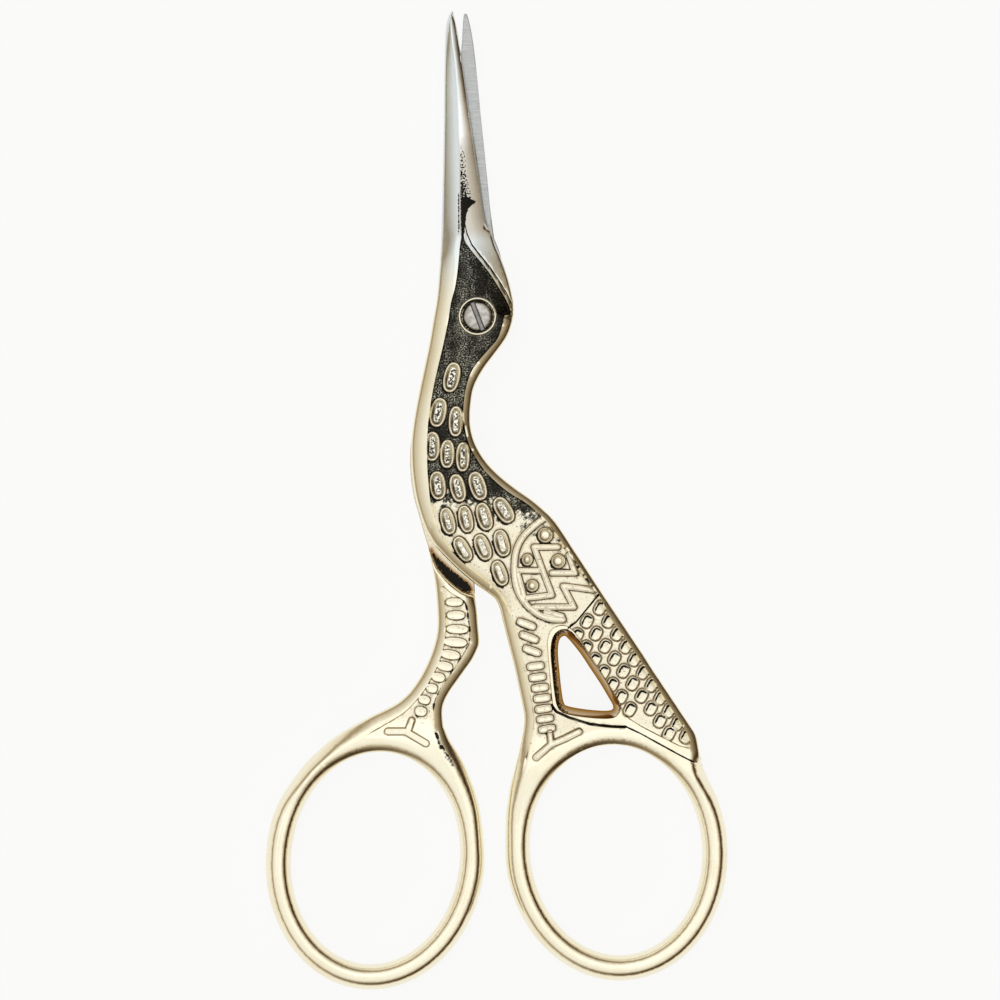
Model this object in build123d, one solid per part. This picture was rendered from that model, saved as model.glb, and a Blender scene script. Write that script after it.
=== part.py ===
from build123d import *
import math
import os

# Stork embroidery scissors, lying flat, slightly open, as drawn from above.
# +Y runs to the blade tips, +X to the side of the tail and +Z up.
# The pivot's axis is X = Y = 0 and the scissors rest on the plane Z = 0.
# Outlines are picture points (right, down) of a view from straight above.
# Each group of points is scaled by the real sizes of what it outlines.

# Thickness
half_thickness = 1.75
lap_gap = 0.05
rim_round = 0.45
panel_depth = 0.32

# Blades
blade_length = 28.8
blade_width = 5.0
blade_root_thickness = 1.68
blade_tip_thickness = 0.5
blade_edge_thickness = 0.08
blade_spine_round = 0.3

# Head, neck, body and tail, from the pivot to the top of the finger bow
body_length = 39.0
body_width = 27.2

# Finger bows
left_bow_hole_width = 15.9
left_bow_hole_length = 20.1
right_bow_hole_width = 16.15
right_bow_hole_length = 19.8
bow_wire_width = 2.4
bow_wire_thickness = 2.8
bow_gap = 1.95
bow_split_offset = 1.6
left_bow_tilt = -2.8
right_bow_tilt = 1.9
left_leg_extra_length = 0.6

# Pivot screw
screw_head_radius = 1.41
screw_head_thickness = 0.75
screw_dome_height = 0.2
screw_recess_clearance = 0.27
screw_head_seat_gap = 0.03
screw_shank_radius = 0.95
screw_shank_clearance = 0.04
screw_thread_radius = 0.85
screw_thread_clearance = 0.02
screw_slot_width = 0.45
screw_slot_depth = 0.4
screw_slot_turn = 21
screw_seat_web = 0.8

# Relief
feather_ring_width = 0.24
feather_groove_width = 0.2
groove_depth = 0.16
scale_length = 1.2
scale_width = 0.95
scale_ring_width = 0.22
scale_turn = -57
band_width = 0.6

# Overrun of every cutting tool past the face that it cuts
overrun = 1.0

# Heights worked out from the thicknesses
lower_top = half_thickness
upper_bottom = half_thickness + lap_gap
upper_top = 2 * half_thickness + lap_gap
middle = upper_top / 2

# Picture points
pivot_px = (477.5, 316.5)
blade_length_px = 306.5
blade_width_px = 53
body_length_px = 415.5
body_width_px = 290

front_blade_px = [
    # down the picture, spine, ridge, cutting edge
    (11, 450, 451, 453),
    (32, 445.5, 449.5, 457),
    (63, 444.5, 453, 462),
    (117, 444, 455, 470),
    (168, 443, 458, 478),
    (228, 441.5, 460, 489),
    (258, 440.5, 460, 492),
]
back_blade_px = [
    (12, 466, 465.5, 463.5),
    (40, 472.5, 469.5, 462),
    (63, 475.5, 469, 460),
    (112, 480, 469.5, 456),
    (168, 486, 470.5, 452),
    (228, 492, 472, 446),
    (258, 495, 473, 446),
]
front_left_px = [
    (441, 240), (440, 260), (437, 296), (433, 320), (429, 344), (424, 368), (419, 392), (414, 416),
    (411, 440), (410, 462), (412, 482), (416, 500), (422, 518), (430, 535), (440, 551), (450, 561),
    (460, 571), (470, 580), (480, 587), (490, 594), (499, 605),
]
front_leg_left_px = [
    (499, 605), (502, 620), (508, 644), (514, 668), (519, 692), (523, 712), (523, 728),
]
front_right_px = [
    (699, 756), (698, 744), (690, 730), (670, 698), (640, 652), (609, 607), (590, 577), (570, 545),
    (550, 517), (531, 500), (516, 489), (500, 476), (486, 462), (475, 443), (471, 428), (470, 410),
    (472, 394), (477, 380), (484, 368), (493, 356), (502, 344), (510, 330), (514, 315), (514, 300),
    (510, 285), (505, 270), (499, 254), (494, 240),
]
front_shoulder_px = [
    (484, 430), (484, 560), (489, 640), (489, 860), (760, 860), (760, 430),
]
tail_window_px = [
    (563, 636), (567, 640), (580, 654), (590, 668), (600, 683), (608, 697), (613, 707), (611, 711),
    (603, 710), (580, 707), (566, 704), (562, 700), (559, 680), (557, 655), (558, 640),
]
front_panel_left_px = [
    (461, 236), (459, 250), (457, 272), (455, 288), (451, 303), (448, 322), (443, 346), (438, 367),
    (434, 385), (431, 402), (428, 424), (427, 445), (429, 470), (433, 492), (441, 515), (452, 533),
    (466, 550), (484, 566), (500, 578),
]
front_panel_low_px = [
    (500, 578), (512, 596), (524, 612), (540, 623), (553, 625),
]
front_panel_groove_px = [
    (553, 625), (566, 627), (576, 618), (590, 598),
]
front_panel_right_px = [
    (590, 598), (577, 571), (560, 547), (546, 528), (530, 512), (511, 497), (494, 482), (479, 464),
    (469, 446), (465, 428), (463, 413), (465, 396), (468, 382), (477, 364), (488, 350), (497, 338),
    (503, 322), (506, 310),
]
front_panel_bolster_px = [
    (506, 310), (500, 295), (488, 273), (476, 256), (468, 245), (461, 236),
]
feathers_px = [
    # right, down, width, length, tilt in degrees, leaning right at the top
    (452, 377.5, 17, 31, 13), (438.5, 412.5, 17, 30, 12), (456, 421.5, 15, 31, 2),
    (432.5, 446.5, 16, 30, 2), (447.5, 454, 15, 29, 2), (463, 457, 14.5, 30, 1),
    (438, 485.5, 17, 29, -6), (458, 488, 16, 29, -13), (478, 486, 17, 30, -18),
    (448, 521, 15, 28, -14), (466, 519, 15, 28, -12), (484.5, 516.5, 16, 29, -16),
    (504, 510, 17, 29, -32), (463, 549, 15, 28, -30), (483, 547, 16, 28, -22),
    (502, 543, 16, 28, -14), (500, 573, 15, 27, -20),
]
back_feathers_px = [0, 1, 3, 4, 6, 9]
wing_band_px = [
    (543, 519), (530, 530), (519, 546), (514, 566), (517, 588), (528, 606), (545, 617), (564, 620),
]
wing_zigzag_px = [
    (558, 547), (534, 547), (552, 595), (527, 598),
]
wing_branch_px = [
    (518, 570), (543, 571),
]
wing_hook_px = [
    (569, 555), (574, 573), (552, 573),
]
wing_lower_px = [
    (594, 590), (563, 586), (574, 607), (535, 607),
]
wing_discs_px = [
    (545.5, 535, 8), (527.5, 559.5, 6), (558.5, 561, 7), (532.5, 585.5, 6.5),
]
tail_panel_px = [
    (600, 596), (685, 728), (681, 741), (625, 715), (618, 701), (583, 648), (573, 634), (576, 626),
]
tail_rows_px = [
    # first scale, last scale, how many
    ((603, 612), (681, 728), 10), ((591, 622), (667, 731), 9), ((581, 636), (629, 707), 6),
]
right_bars_px = [
    # right, down, width, length, tilt in degrees
    (528, 625, 19, 6, 16), (530, 638, 19, 6, 16), (532.5, 651, 19, 6, 14), (536, 666, 19, 6, -8),
    (537, 677, 19, 6, -8), (540, 687, 19, 6, -8), (542, 698, 19, 6, -8), (543, 708, 18, 6, -8),
]
left_bars_px = [
    (455, 602, 18, 5, 0), (455, 615, 18, 7, 0), (456, 628, 22, 7, 0), (455, 642, 23, 7, -5),
    (450, 654, 20, 7, -10), (445, 665, 16, 7, -15), (438, 676, 13, 8, -18), (432, 688, 12, 8, -20),
    (425, 699, 11, 8, -20),
]
right_leg_panel_px = [
    (513, 616), (540, 626), (546, 640), (548, 670), (552, 704), (552, 716), (531, 716), (526, 690),
    (520, 655),
]
left_leg_panel_px = [
    (443, 594), (466, 604), (469, 632), (466, 648), (448, 680), (433, 706), (415, 708), (428, 682),
    (441, 655), (444, 630),
]
back_left_px = [
    (446, 240), (444, 262), (441, 296), (436, 320), (432, 344), (426, 368), (420, 392), (415, 416),
    (411, 440), (409.5, 464), (410, 480), (414, 500), (421, 524), (428, 547), (431, 560),
]
back_leg_left_px = [
    (431, 560), (435, 584), (437, 602), (437, 622), (433, 644), (424, 668), (410, 692), (394, 704),
    (369, 716), (345, 730), (325, 745),
]
back_leg_right_px = [
    (470, 795), (464, 766), (450, 740), (443, 720), (445, 703), (458, 680), (475, 656), (479, 642),
    (477, 615), (475, 600),
]
back_right_px = [
    (475, 600), (474, 585), (474, 560), (472, 500), (468, 440), (470, 400), (478, 376), (492, 356),
    (506, 332), (509, 312), (506, 285), (499, 258), (495, 240),
]
back_shoulder_px = [
    (425, 545), (432, 550), (437, 566), (445, 576), (455, 585), (464, 592), (470, 600), (480, 601),
    (520, 800), (400, 900), (250, 900), (250, 545),
]
back_panel_px = [
    (458, 262), (456, 290), (451, 306), (446, 330), (440, 352), (434, 378), (430, 402), (426, 430),
    (426, 470), (430, 495), (438, 520), (446, 540), (458, 548), (463, 530), (461, 500), (458, 460),
    (457, 420), (460, 390), (468, 366), (482, 348), (494, 330), (497, 312), (494, 290), (480, 262),
]


def blade_at(px, py):
    across = (px - pivot_px[0]) * blade_width / blade_width_px
    return across, (pivot_px[1] - py) * blade_length / blade_length_px


def body_at(px, py):
    across = (px - pivot_px[0]) * body_width / body_width_px
    return across, (pivot_px[1] - py) * body_length / body_length_px


def width_at(px):
    return px * body_width / body_width_px


def length_at(px):
    return px * body_length / body_length_px


def curve(points_px):
    return Spline(*[body_at(*point) for point in points_px])


def straight(points_px):
    return Polyline(*[body_at(*point) for point in points_px])


def polygon(points_px):
    return make_face(Polyline(*[body_at(*point) for point in points_px], close=True))


def closed(*runs):
    """A face bounded by runs of curves and lines that follow each other."""
    return make_face(Wire([edge for run in runs for edge in run.edges()]))


def slab(face, low, high):
    return Pos(0, 0, low) * extrude(face, high - low)


class Bow:
    """A finger bow: a wire of oval section bent to an oval ring."""

    def __init__(self, hole_width, hole_length, centre_x, top_y, tilt):
        self.half_width = (hole_width + bow_wire_width) / 2
        self.half_length = (hole_length + bow_wire_width) / 2
        self.x = centre_x
        self.y = top_y - self.half_length
        self.tilt = tilt

    def at(self, degrees):
        """A point of the wire's centre line, anticlockwise from the right."""
        turn = math.radians(self.tilt)
        across = self.half_width * math.cos(math.radians(degrees))
        along = self.half_length * math.sin(math.radians(degrees))
        return (
            self.x + across * math.cos(turn) - along * math.sin(turn),
            self.y + across * math.sin(turn) + along * math.cos(turn),
        )

    def side(self, start_degrees):
        """Half of the ring."""
        arc = EllipticalCenterArc((0, 0), self.half_width, self.half_length, start_degrees, arc_size=180)
        path = (Pos(self.x, self.y, middle) * Rot(0, 0, self.tilt) * arc).edges()[0]
        start = Plane(path @ 0, x_dir=(0, 0, 1), z_dir=path % 0)
        return sweep(start * Ellipse(bow_wire_thickness / 2, bow_wire_width / 2), path=path)

    def ring(self):
        return self.side(0) + self.side(180)


left_bow = Bow(
    left_bow_hole_width,
    left_bow_hole_length,
    bow_split_offset - bow_gap / 2 - bow_wire_width - left_bow_hole_width / 2,
    -body_length - left_leg_extra_length,
    left_bow_tilt,
)
right_bow = Bow(
    right_bow_hole_width,
    right_bow_hole_length,
    bow_split_offset + bow_gap / 2 + bow_wire_width + right_bow_hole_width / 2,
    -body_length,
    right_bow_tilt,
)


def blade(stations_px, flat_level, side):
    """A tapered blade: flat inner face, rounded spine and one ground bevel. side is +1 above, -1 below."""
    root_y = stations_px[-1][0]
    tip_y = stations_px[0][0]
    sections = []
    for down, spine, ridge, edge in stations_px:
        share = (down - tip_y) / (root_y - tip_y)
        thickness = blade_tip_thickness + share * (blade_root_thickness - blade_tip_thickness)
        y = blade_at(0, down)[1]
        lean = blade_spine_round * (1 if ridge > spine else -1)
        wall = min(1, abs(ridge - spine) * blade_width / blade_width_px / (2 * blade_spine_round))
        profile = [
            (blade_at(spine, 0)[0], 0),
            (blade_at(spine, 0)[0], thickness - blade_spine_round),
            (blade_at(spine, 0)[0] + lean * wall, thickness),
            (blade_at(ridge, 0)[0] + lean * wall / 2, thickness),
            (blade_at(edge, 0)[0], blade_edge_thickness),
            (blade_at(edge, 0)[0], 0),
        ]
        points = [Vector(x, y, flat_level + side * height) for x, height in profile]
        sections.append(Face(Wire.make_polygon(points, close=True)))
    return loft(sections, ruled=True)


def round_rim(solid):
    """Rounds the curved edges of the outline, on the upper and the lower face."""
    edges = [
        edge
        for edge in solid.edges()
        if edge.geom_type == GeomType.BSPLINE and edge.bounding_box().size.Z < rim_round / 100
    ]
    return fillet(edges, rim_round)


def oval(px, py, wide, long, tilt, inset=0):
    place = Pos(*body_at(px, py), 0) * Rot(0, 0, -tilt)
    return place * Ellipse(width_at(wide) / 2 - inset, length_at(long) / 2 - inset)


def feather_grooves(numbers):
    """The ring that is cut inside each feather's rim."""
    inner = feather_ring_width + feather_groove_width
    return [oval(*feathers_px[i], feather_ring_width) - oval(*feathers_px[i], inner) for i in numbers]


def scale_places():
    places = []
    for first, last, count in tail_rows_px:
        for step in range(count):
            share = step / (count - 1)
            px = first[0] + share * (last[0] - first[0])
            py = first[1] + share * (last[1] - first[1])
            places.append(Pos(*body_at(px, py), 0) * Rot(0, 0, scale_turn))
    return places


def scale(place, inset=0):
    long = scale_length - 2 * inset
    wide = scale_width - 2 * inset
    return place * RectangleRounded(long, wide, wide / 3)


def band(line):
    return trace(line, band_width)


def wing():
    faces = [band(curve(wing_band_px))]
    for line in (wing_zigzag_px, wing_branch_px, wing_hook_px, wing_lower_px):
        faces.append(band(straight(line)))
    for px, py, radius in wing_discs_px:
        faces.append(Pos(*body_at(px, py), 0) * Circle(width_at(radius)))
    return faces


def sunk(face, islands, depth):
    """A cutter that sinks a face of the upper side and leaves its islands standing."""
    return slab(face - islands if islands else face, upper_top - depth, upper_top + overrun)


def underside(solid):
    """The same cutter on the lower side, under the upper one."""
    return mirror(solid, about=Plane((0, 0, middle)))


def front_outline():
    foot = [right_bow.at(degrees) for degrees in (120, 90, 60)]
    return closed(
        curve(front_left_px),
        curve(front_leg_left_px),
        Polyline(body_at(*front_leg_left_px[-1]), *foot, body_at(*front_right_px[0])),
        curve(front_right_px),
        straight([front_right_px[-1], front_left_px[0]]),
    )


def back_outline():
    foot = [left_bow.at(degrees) for degrees in (120, 90, 60)]
    return closed(
        curve(back_left_px),
        curve(back_leg_left_px),
        Polyline(body_at(*back_leg_left_px[-1]), *foot, body_at(*back_leg_right_px[0])),
        curve(back_leg_right_px),
        curve(back_right_px),
        straight([back_right_px[-1], back_left_px[0]]),
    )


def front_half():
    outline = front_outline()
    plate = round_rim(slab(outline, 0, upper_top)) + right_bow.ring()
    full = slab(polygon(front_shoulder_px), -overrun, upper_bottom)
    lap = slab(outline, -overrun, upper_bottom) - full
    neck = closed(
        curve(front_panel_left_px),
        straight(front_panel_low_px),
        straight(front_panel_groove_px),
        curve(front_panel_right_px),
        curve(front_panel_bolster_px),
    )
    feathers = [oval(*feather) for feather in feathers_px]
    bars = [oval(*bar) for bar in right_bars_px]
    scales = scale_places()
    relief = [
        sunk(neck, feathers + wing(), panel_depth),
        sunk(polygon(tail_panel_px), [scale(place) for place in scales], panel_depth),
        sunk(polygon(right_leg_panel_px), bars, panel_depth),
    ]
    for groove in feather_grooves(range(len(feathers_px))):
        relief.append(sunk(groove, [], groove_depth))
    for place in scales:
        relief.append(sunk(scale(place, scale_ring_width), [], groove_depth))
    window = slab(polygon(tail_window_px), -overrun, upper_top + overrun)
    seat = Pos(0, 0, upper_bottom + screw_seat_web) * Cylinder(
        screw_head_radius + screw_recess_clearance,
        half_thickness,
        align=(Align.CENTER, Align.CENTER, Align.MIN),
    )
    bore = Cylinder(screw_shank_radius + screw_shank_clearance, 3 * upper_top)
    body = plate - [lap, seat, bore, window]
    body = body - relief - [underside(cutter) for cutter in relief]
    return body + blade(front_blade_px, upper_bottom, 1)


def back_half():
    outline = back_outline()
    plate = round_rim(slab(outline, 0, upper_top)) + left_bow.ring()
    raised = slab(polygon(back_shoulder_px), lower_top, upper_top + overrun)
    lap = slab(outline, lower_top, upper_top + overrun) - raised
    leg = sunk(polygon(left_leg_panel_px), [oval(*bar) for bar in left_bars_px], panel_depth)
    feathers = [oval(*feathers_px[number]) for number in back_feathers_px]
    neck = [sunk(polygon(back_panel_px), feathers, panel_depth)]
    for groove in feather_grooves(back_feathers_px):
        neck.append(sunk(groove, [], groove_depth))
    hole = Cylinder(screw_thread_radius + screw_thread_clearance, 3 * upper_top)
    body = plate - [lap, hole]
    body = body - [leg, underside(leg)] - [underside(cutter) for cutter in neck]
    return body + blade(back_blade_px, lower_top, -1)


def pivot_screw():
    thread = Cylinder(screw_thread_radius, lower_top, align=(Align.CENTER, Align.CENTER, Align.MIN))
    seat = upper_bottom + screw_seat_web + screw_head_seat_gap
    shank = Pos(0, 0, lower_top) * Cylinder(
        screw_shank_radius, seat - lower_top, align=(Align.CENTER, Align.CENTER, Align.MIN)
    )
    flat = screw_head_thickness - screw_dome_height
    head = Pos(0, 0, seat) * Cylinder(screw_head_radius, flat, align=(Align.CENTER, Align.CENTER, Align.MIN))
    dome_radius = (screw_head_radius**2 + screw_dome_height**2) / (2 * screw_dome_height)
    ball = Pos(0, 0, seat + screw_head_thickness - dome_radius) * Sphere(dome_radius)
    cap = Pos(0, 0, seat + flat) * Cylinder(
        screw_head_radius, screw_dome_height, align=(Align.CENTER, Align.CENTER, Align.MIN)
    )
    head = head + (cap & ball)
    slot = Pos(0, 0, seat + screw_head_thickness - screw_slot_depth) * Rot(0, 0, screw_slot_turn) * Box(
        screw_slot_width, 3 * screw_head_radius, overrun, align=(Align.CENTER, Align.CENTER, Align.MIN)
    )
    return thread + shank + head - slot


os.makedirs("parts", exist_ok=True)
for name, make in (("front_half", front_half), ("back_half", back_half), ("pivot_screw", pivot_screw)):
    export_step(make(), "parts/" + name + ".step")
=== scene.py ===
import math

import bmesh
import bpy
import numpy as np
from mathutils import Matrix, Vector
from mathutils.geometry import delaunay_2d_cdt
from mathutils.kdtree import KDTree


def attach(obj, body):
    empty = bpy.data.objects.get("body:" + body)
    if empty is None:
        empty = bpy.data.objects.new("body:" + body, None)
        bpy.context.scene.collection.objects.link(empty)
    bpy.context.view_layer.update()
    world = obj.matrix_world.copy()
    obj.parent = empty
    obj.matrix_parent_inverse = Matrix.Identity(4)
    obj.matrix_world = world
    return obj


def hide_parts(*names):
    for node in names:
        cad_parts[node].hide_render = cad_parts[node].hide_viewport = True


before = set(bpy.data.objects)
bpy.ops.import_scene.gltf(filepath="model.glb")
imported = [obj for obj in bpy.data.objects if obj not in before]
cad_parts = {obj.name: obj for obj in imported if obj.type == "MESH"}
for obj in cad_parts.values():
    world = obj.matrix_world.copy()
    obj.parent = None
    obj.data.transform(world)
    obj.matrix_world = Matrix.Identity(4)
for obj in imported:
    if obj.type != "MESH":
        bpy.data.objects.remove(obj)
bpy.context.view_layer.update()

# Outlines and relief are drawn in picture points: right and down in a 1000 x 1000 view from straight above.
# Heights are millimetres above the plane that the scissors rest on.
MM = 0.001
PX_MM = 0.0939
PIVOT_PX = (477.5, 316.5)
PICTURE_PX = 1000

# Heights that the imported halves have
UPPER_TOP = 3.55
UPPER_BOTTOM = 1.8
LOWER_TOP = 1.75
MIDDLE = UPPER_TOP / 2

# The lapped faces are plain above this place, in metres. Edges are sharp from this angle on, in degrees.
LAP_END = -0.0175
SHARP_FROM = 44

# The sunk ground: its depth in mm, then the width of its wall and where mesh lines follow it, in points
PANEL_DEPTH = 0.3
WALL_PX = 1.1
WALL_LINES = (WALL_PX, WALL_PX * 0.5, WALL_PX * 1.9)

# The row where the blades' own lines end, and the rows over which a blade becomes the body
BLADE_END = 236
BOLSTER = (226, 262)

# What breaks a sharp edge, in points and mm, and the cutting bevel's share of the facet and its edge in mm
BROKEN_EDGE = (1.3, 0.1)
BEVEL_SHARE = 0.12
EDGE_THICK = 0.07

# Blades: down the picture, then across it: spine, ridge, cutting edge, and the thickness in mm
FRONT_BLADE = [
    (10.8, 452, 452, 452.5, 0.4), (14, 449.5, 451, 453.5, 0.48), (22, 446.7, 450, 455.5, 0.55),
    (32, 445.5, 450.5, 457.5, 0.62), (45, 445, 452, 459.5, 0.7), (63, 444.6, 454.5, 462.5, 0.8),
    (90, 444.2, 456.5, 466.5, 0.92), (117, 444, 457.5, 470.5, 1.03), (143, 443.5, 458.3, 474.5, 1.14),
    (168, 443, 459, 478.5, 1.25), (198, 442.3, 459.5, 482.5, 1.4), (215, 441.8, 460, 485, 1.5),
    (228, 441.5, 460, 488.5, 1.58), (238, 441.2, 460, 492, 1.64), (262, 440, 459, 500, 1.7),
]
BACK_BLADE = [
    (12, 465.5, 465, 464, 0.4), (16, 467.8, 466, 463.5, 0.46), (27, 470.5, 467.5, 462.6, 0.56),
    (40, 472.8, 468, 462, 0.66), (63, 475.7, 468.5, 460, 0.78), (90, 478.4, 469, 457.5, 0.9),
    (112, 480.4, 469.5, 456, 1.0), (150, 484.4, 470, 453, 1.18), (190, 488.4, 471, 449.5, 1.36),
    (210, 490.4, 471.5, 448, 1.46), (238, 494.2, 472, 446.5, 1.6), (262, 500, 473, 445.5, 1.7),
]


def column(table, index):
    """One column of a table."""
    return [row[index] for row in table]


def across(table, index):
    """The points of a blade's spine, ridge or edge."""
    return [(row[index], row[0]) for row in table]


# Outline runs: points, then the width (points) and the depth (mm) of the rounding along them.
# They run clockwise, down the right side first.
FRONT_RUNS = [
    (across(FRONT_BLADE, 3)[:-1], 34, 1.08),
    ([(492, 238), (496, 248), (500.5, 257), (505.5, 270), (509.5, 283), (512.5, 296), (514, 306),
      (514, 314)], 34, 1.08),
    ([(514, 314), (512.5, 322), (508.5, 334), (502.5, 344), (493.5, 356), (484.5, 368), (477.5, 380),
      (473.5, 390), (471.5, 402), (470.5, 414), (471, 427), (474.5, 441), (481, 454), (490, 466),
      (502, 477.5), (516, 488.5), (531, 499), (543, 509), (554, 520), (564, 534), (573, 548),
      (583, 563), (594, 580), (604.5, 596)], 11.5, 0.5),
    ([(604.5, 596), (612.5, 608), (620.5, 620), (628.5, 632), (636.5, 644), (644.5, 656), (652, 668),
      (660, 680), (668, 692), (676, 704), (684, 716), (692, 728), (697.5, 738), (699.5, 746),
      (698.5, 754), (696.5, 761)], 13, 0.55),
    ("bow", (697.5, 766), (505, 846)),
    ([(504.8, 840), (505.3, 828), (506.3, 812), (508, 800), (510, 788), (513, 776), (516, 764),
      (519, 752), (521.5, 740)], (12.75, 13), (1.4, 0.55)),
    ([(521.5, 740), (523.5, 728), (524, 716), (522, 704), (519.5, 692), (517, 680), (514.5, 668),
      (511.5, 656), (508.5, 644), (505.5, 632), (502.5, 620), (500, 609)], 13, 0.55),
    ([(500, 609), (495.5, 599.5), (488, 593), (479, 586.5), (470, 579.5), (460, 571), (450, 561.5),
      (441, 552), (433, 542.5), (426.5, 531)], 15, 0.65),
    ([(426.5, 531), (421, 516), (416.5, 500), (413.5, 484), (411.5, 464), (411.5, 440), (414.5, 416),
      (419, 392), (424, 368), (429, 344), (433, 320), (437, 296), (440, 262)], 20, 0.74),
    (across(FRONT_BLADE, 1)[::-1], 18, 0.8),
]
BACK_RUNS = [
    (across(BACK_BLADE, 1)[:-1], 8, 0.6),
    ([(494.2, 238), (499, 250), (504, 268), (508, 285), (510, 300), (509, 314), (505, 332), (491, 356),
      (478, 376), (471, 398), (469, 415), (469, 440), (471.5, 480), (473.5, 520), (474.5, 560),
      (474.5, 585), (475.5, 600)], 12, 0.6),
    ([(475.5, 600), (477, 612), (478, 625), (479.2, 642), (477, 650), (472, 660), (465, 670),
      (457.5, 680.5), (449.5, 692), (444, 703), (442.5, 713), (443.5, 726)], 12, 0.5),
    ([(443.5, 726), (449, 739), (457, 752), (464, 764.5), (469.5, 777), (474, 788.5), (477.5, 800),
      (480.3, 812), (482.3, 824), (483.6, 838)], (12, 12.75), (0.5, 1.4)),
    ("bow", (484.5, 846), (283, 794)),
    ([(284, 792), (287.5, 787), (295.5, 775.5), (305.5, 763.5), (317.5, 751.5), (331, 740),
      (348, 728.8), (369, 717.3)], (12.75, 14), (1.4, 0.6)),
    ([(369, 717.3), (393, 705.5), (404, 697.5), (411.5, 689.5), (419.5, 678), (426, 666), (431, 654),
      (434.5, 643), (437, 631), (437.5, 618), (436.5, 600), (435, 584), (432.5, 568),
      (430.5, 557)], 13, 0.55),
    ([(430.5, 557), (427.5, 545), (423.5, 532), (418.5, 514), (414, 498), (411, 480), (410, 464),
      (410.5, 446), (414, 422), (419, 398), (425, 370), (431, 342), (437, 310), (441, 280),
      (444, 262)], 12, 0.6),
    (across(BACK_BLADE, 3)[::-1], 12, 0.6),
]

# The window through the tail, and where each half steps up from the lapped face to its full thickness
TAIL_WINDOW = [
    (564, 636), (568.5, 639), (580, 653), (590, 668), (600, 683), (608, 696.5), (613, 705.5),
    (612, 710), (603, 711), (585, 709.5), (568.5, 706.5), (564, 703), (561.5, 690), (559.5, 671),
    (558, 652), (559.5, 640),
]
FRONT_SHOULDER = [(484, 430), (484, 560), (489, 640), (489, 1010), (760, 1010), (760, 430)]
BACK_SHOULDER = [
    (420, 543), (428, 548.4), (431.2, 552.4), (434.2, 558.4), (438.5, 567.5), (446, 576.5),
    (455, 584.5), (463, 590.5), (468, 592), (474, 593), (482, 596), (540, 700), (540, 1010),
    (240, 1010), (240, 540),
]

# Bows: centre, half width and half length of the hole, and tilt in degrees.
# Then the rows where they begin, and the wire's width in points and height in mm.
LEFT_BOW = (375.3, 858.2, 84.2, 106.8, 6.7)
RIGHT_BOW = (616.2, 850.2, 86.0, 105.6, -5.4)
LEFT_BOW_TOP = 742
RIGHT_BOW_TOP = 750
WIRE_WIDTH = 25.5
WIRE_HEIGHT = 2.8

# The front half's sunk ground, in smooth (True) and straight runs, and how it fades out above the bows
FRONT_GROUND = [
    ([(461.5, 222), (462.5, 228), (465, 240), (470.5, 249.5), (479, 260), (488, 271), (496, 283),
      (504, 296), (509.5, 307), (511, 315)], True),
    ([(511, 315), (504.5, 315.8)], False),
    ([(504.5, 315.8), (501.5, 329), (497, 340), (488, 350.5), (479, 361), (472, 371), (467.5, 383),
      (464.5, 398), (463.5, 413), (465, 427), (468, 440), (474, 454), (483, 468), (495, 481),
      (510, 493), (527, 503.5), (543, 517.5), (554, 530), (563, 544), (575.5, 561), (588, 579),
      (599, 595), (610.5, 618), (619.5, 631), (628.5, 643), (637.5, 656), (646.5, 670), (655.5, 684),
      (665, 699), (675, 714), (684.5, 729), (690.5, 741)], True),
    ([(690.5, 741), (690, 749), (679, 746), (660, 736.5), (640, 726), (622, 714.5)], False),
    ([(622, 714.5), (619, 703), (610, 688), (599, 670), (588, 653), (579, 639), (572, 630), (565, 626),
      (557, 626.5), (551, 631), (548, 641), (548.5, 655), (550, 672), (551.5, 690), (553, 704)], True),
    ([(553, 704), (556.5, 711), (570, 717.5), (590, 723.5), (612, 726), (625, 726), (625, 745),
      (590, 748), (560, 762), (540, 782), (528, 800), (517, 800)], False),
    ([(517, 800), (520.5, 779), (526, 757), (530, 741), (532.5, 727), (533, 716), (531, 703),
      (527.5, 688), (524, 674), (521, 660), (518, 646), (514.5, 632), (511, 620), (507, 608),
      (501.5, 598), (494, 588.5), (484, 579.5), (472, 570), (460, 560), (450, 549), (442, 537),
      (436, 523), (431.5, 507), (429, 490), (427.5, 470), (427, 445), (428.5, 420), (431, 402),
      (434, 385), (438, 367), (443, 346), (448, 322), (451, 303), (455, 288), (457.5, 272),
      (459.5, 250), (461, 236), (461.5, 222)], True),
]
GROUND_FADE = (732, 775)
HOLE_FADE = (12, 25)

# The back half's sunk panels: the left leg's on its upper side, the neck's on its under side
LEFT_LEG_PANEL = [
    (442.5, 586), (452, 593), (461, 598), (467, 604), (469.5, 618), (471, 632), (469.5, 644),
    (463, 656), (450.5, 675), (442, 688), (436.5, 700), (434.5, 713), (436, 728), (440, 742),
    (430, 752), (412, 745), (384, 738), (366, 736), (388, 722), (404, 712), (416, 700), (424.5, 689),
    (432, 676), (438.5, 663), (442.5, 650), (445, 637), (445.5, 622), (444.5, 604),
]
LEFT_LEG_FADE = (716, 745)
BACK_NECK_PANEL = [
    (458, 258), (455, 290), (450, 308), (446, 330), (440, 352), (434, 378), (429, 402), (424.5, 430),
    (423.5, 466), (428, 495), (436, 520), (446, 540), (460, 549), (465, 530), (463, 500), (460, 462),
    (459.5, 430), (461, 405), (468, 376), (480, 353), (494, 334), (499, 314), (497, 292), (484, 264),
    (470, 248),
]

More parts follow.
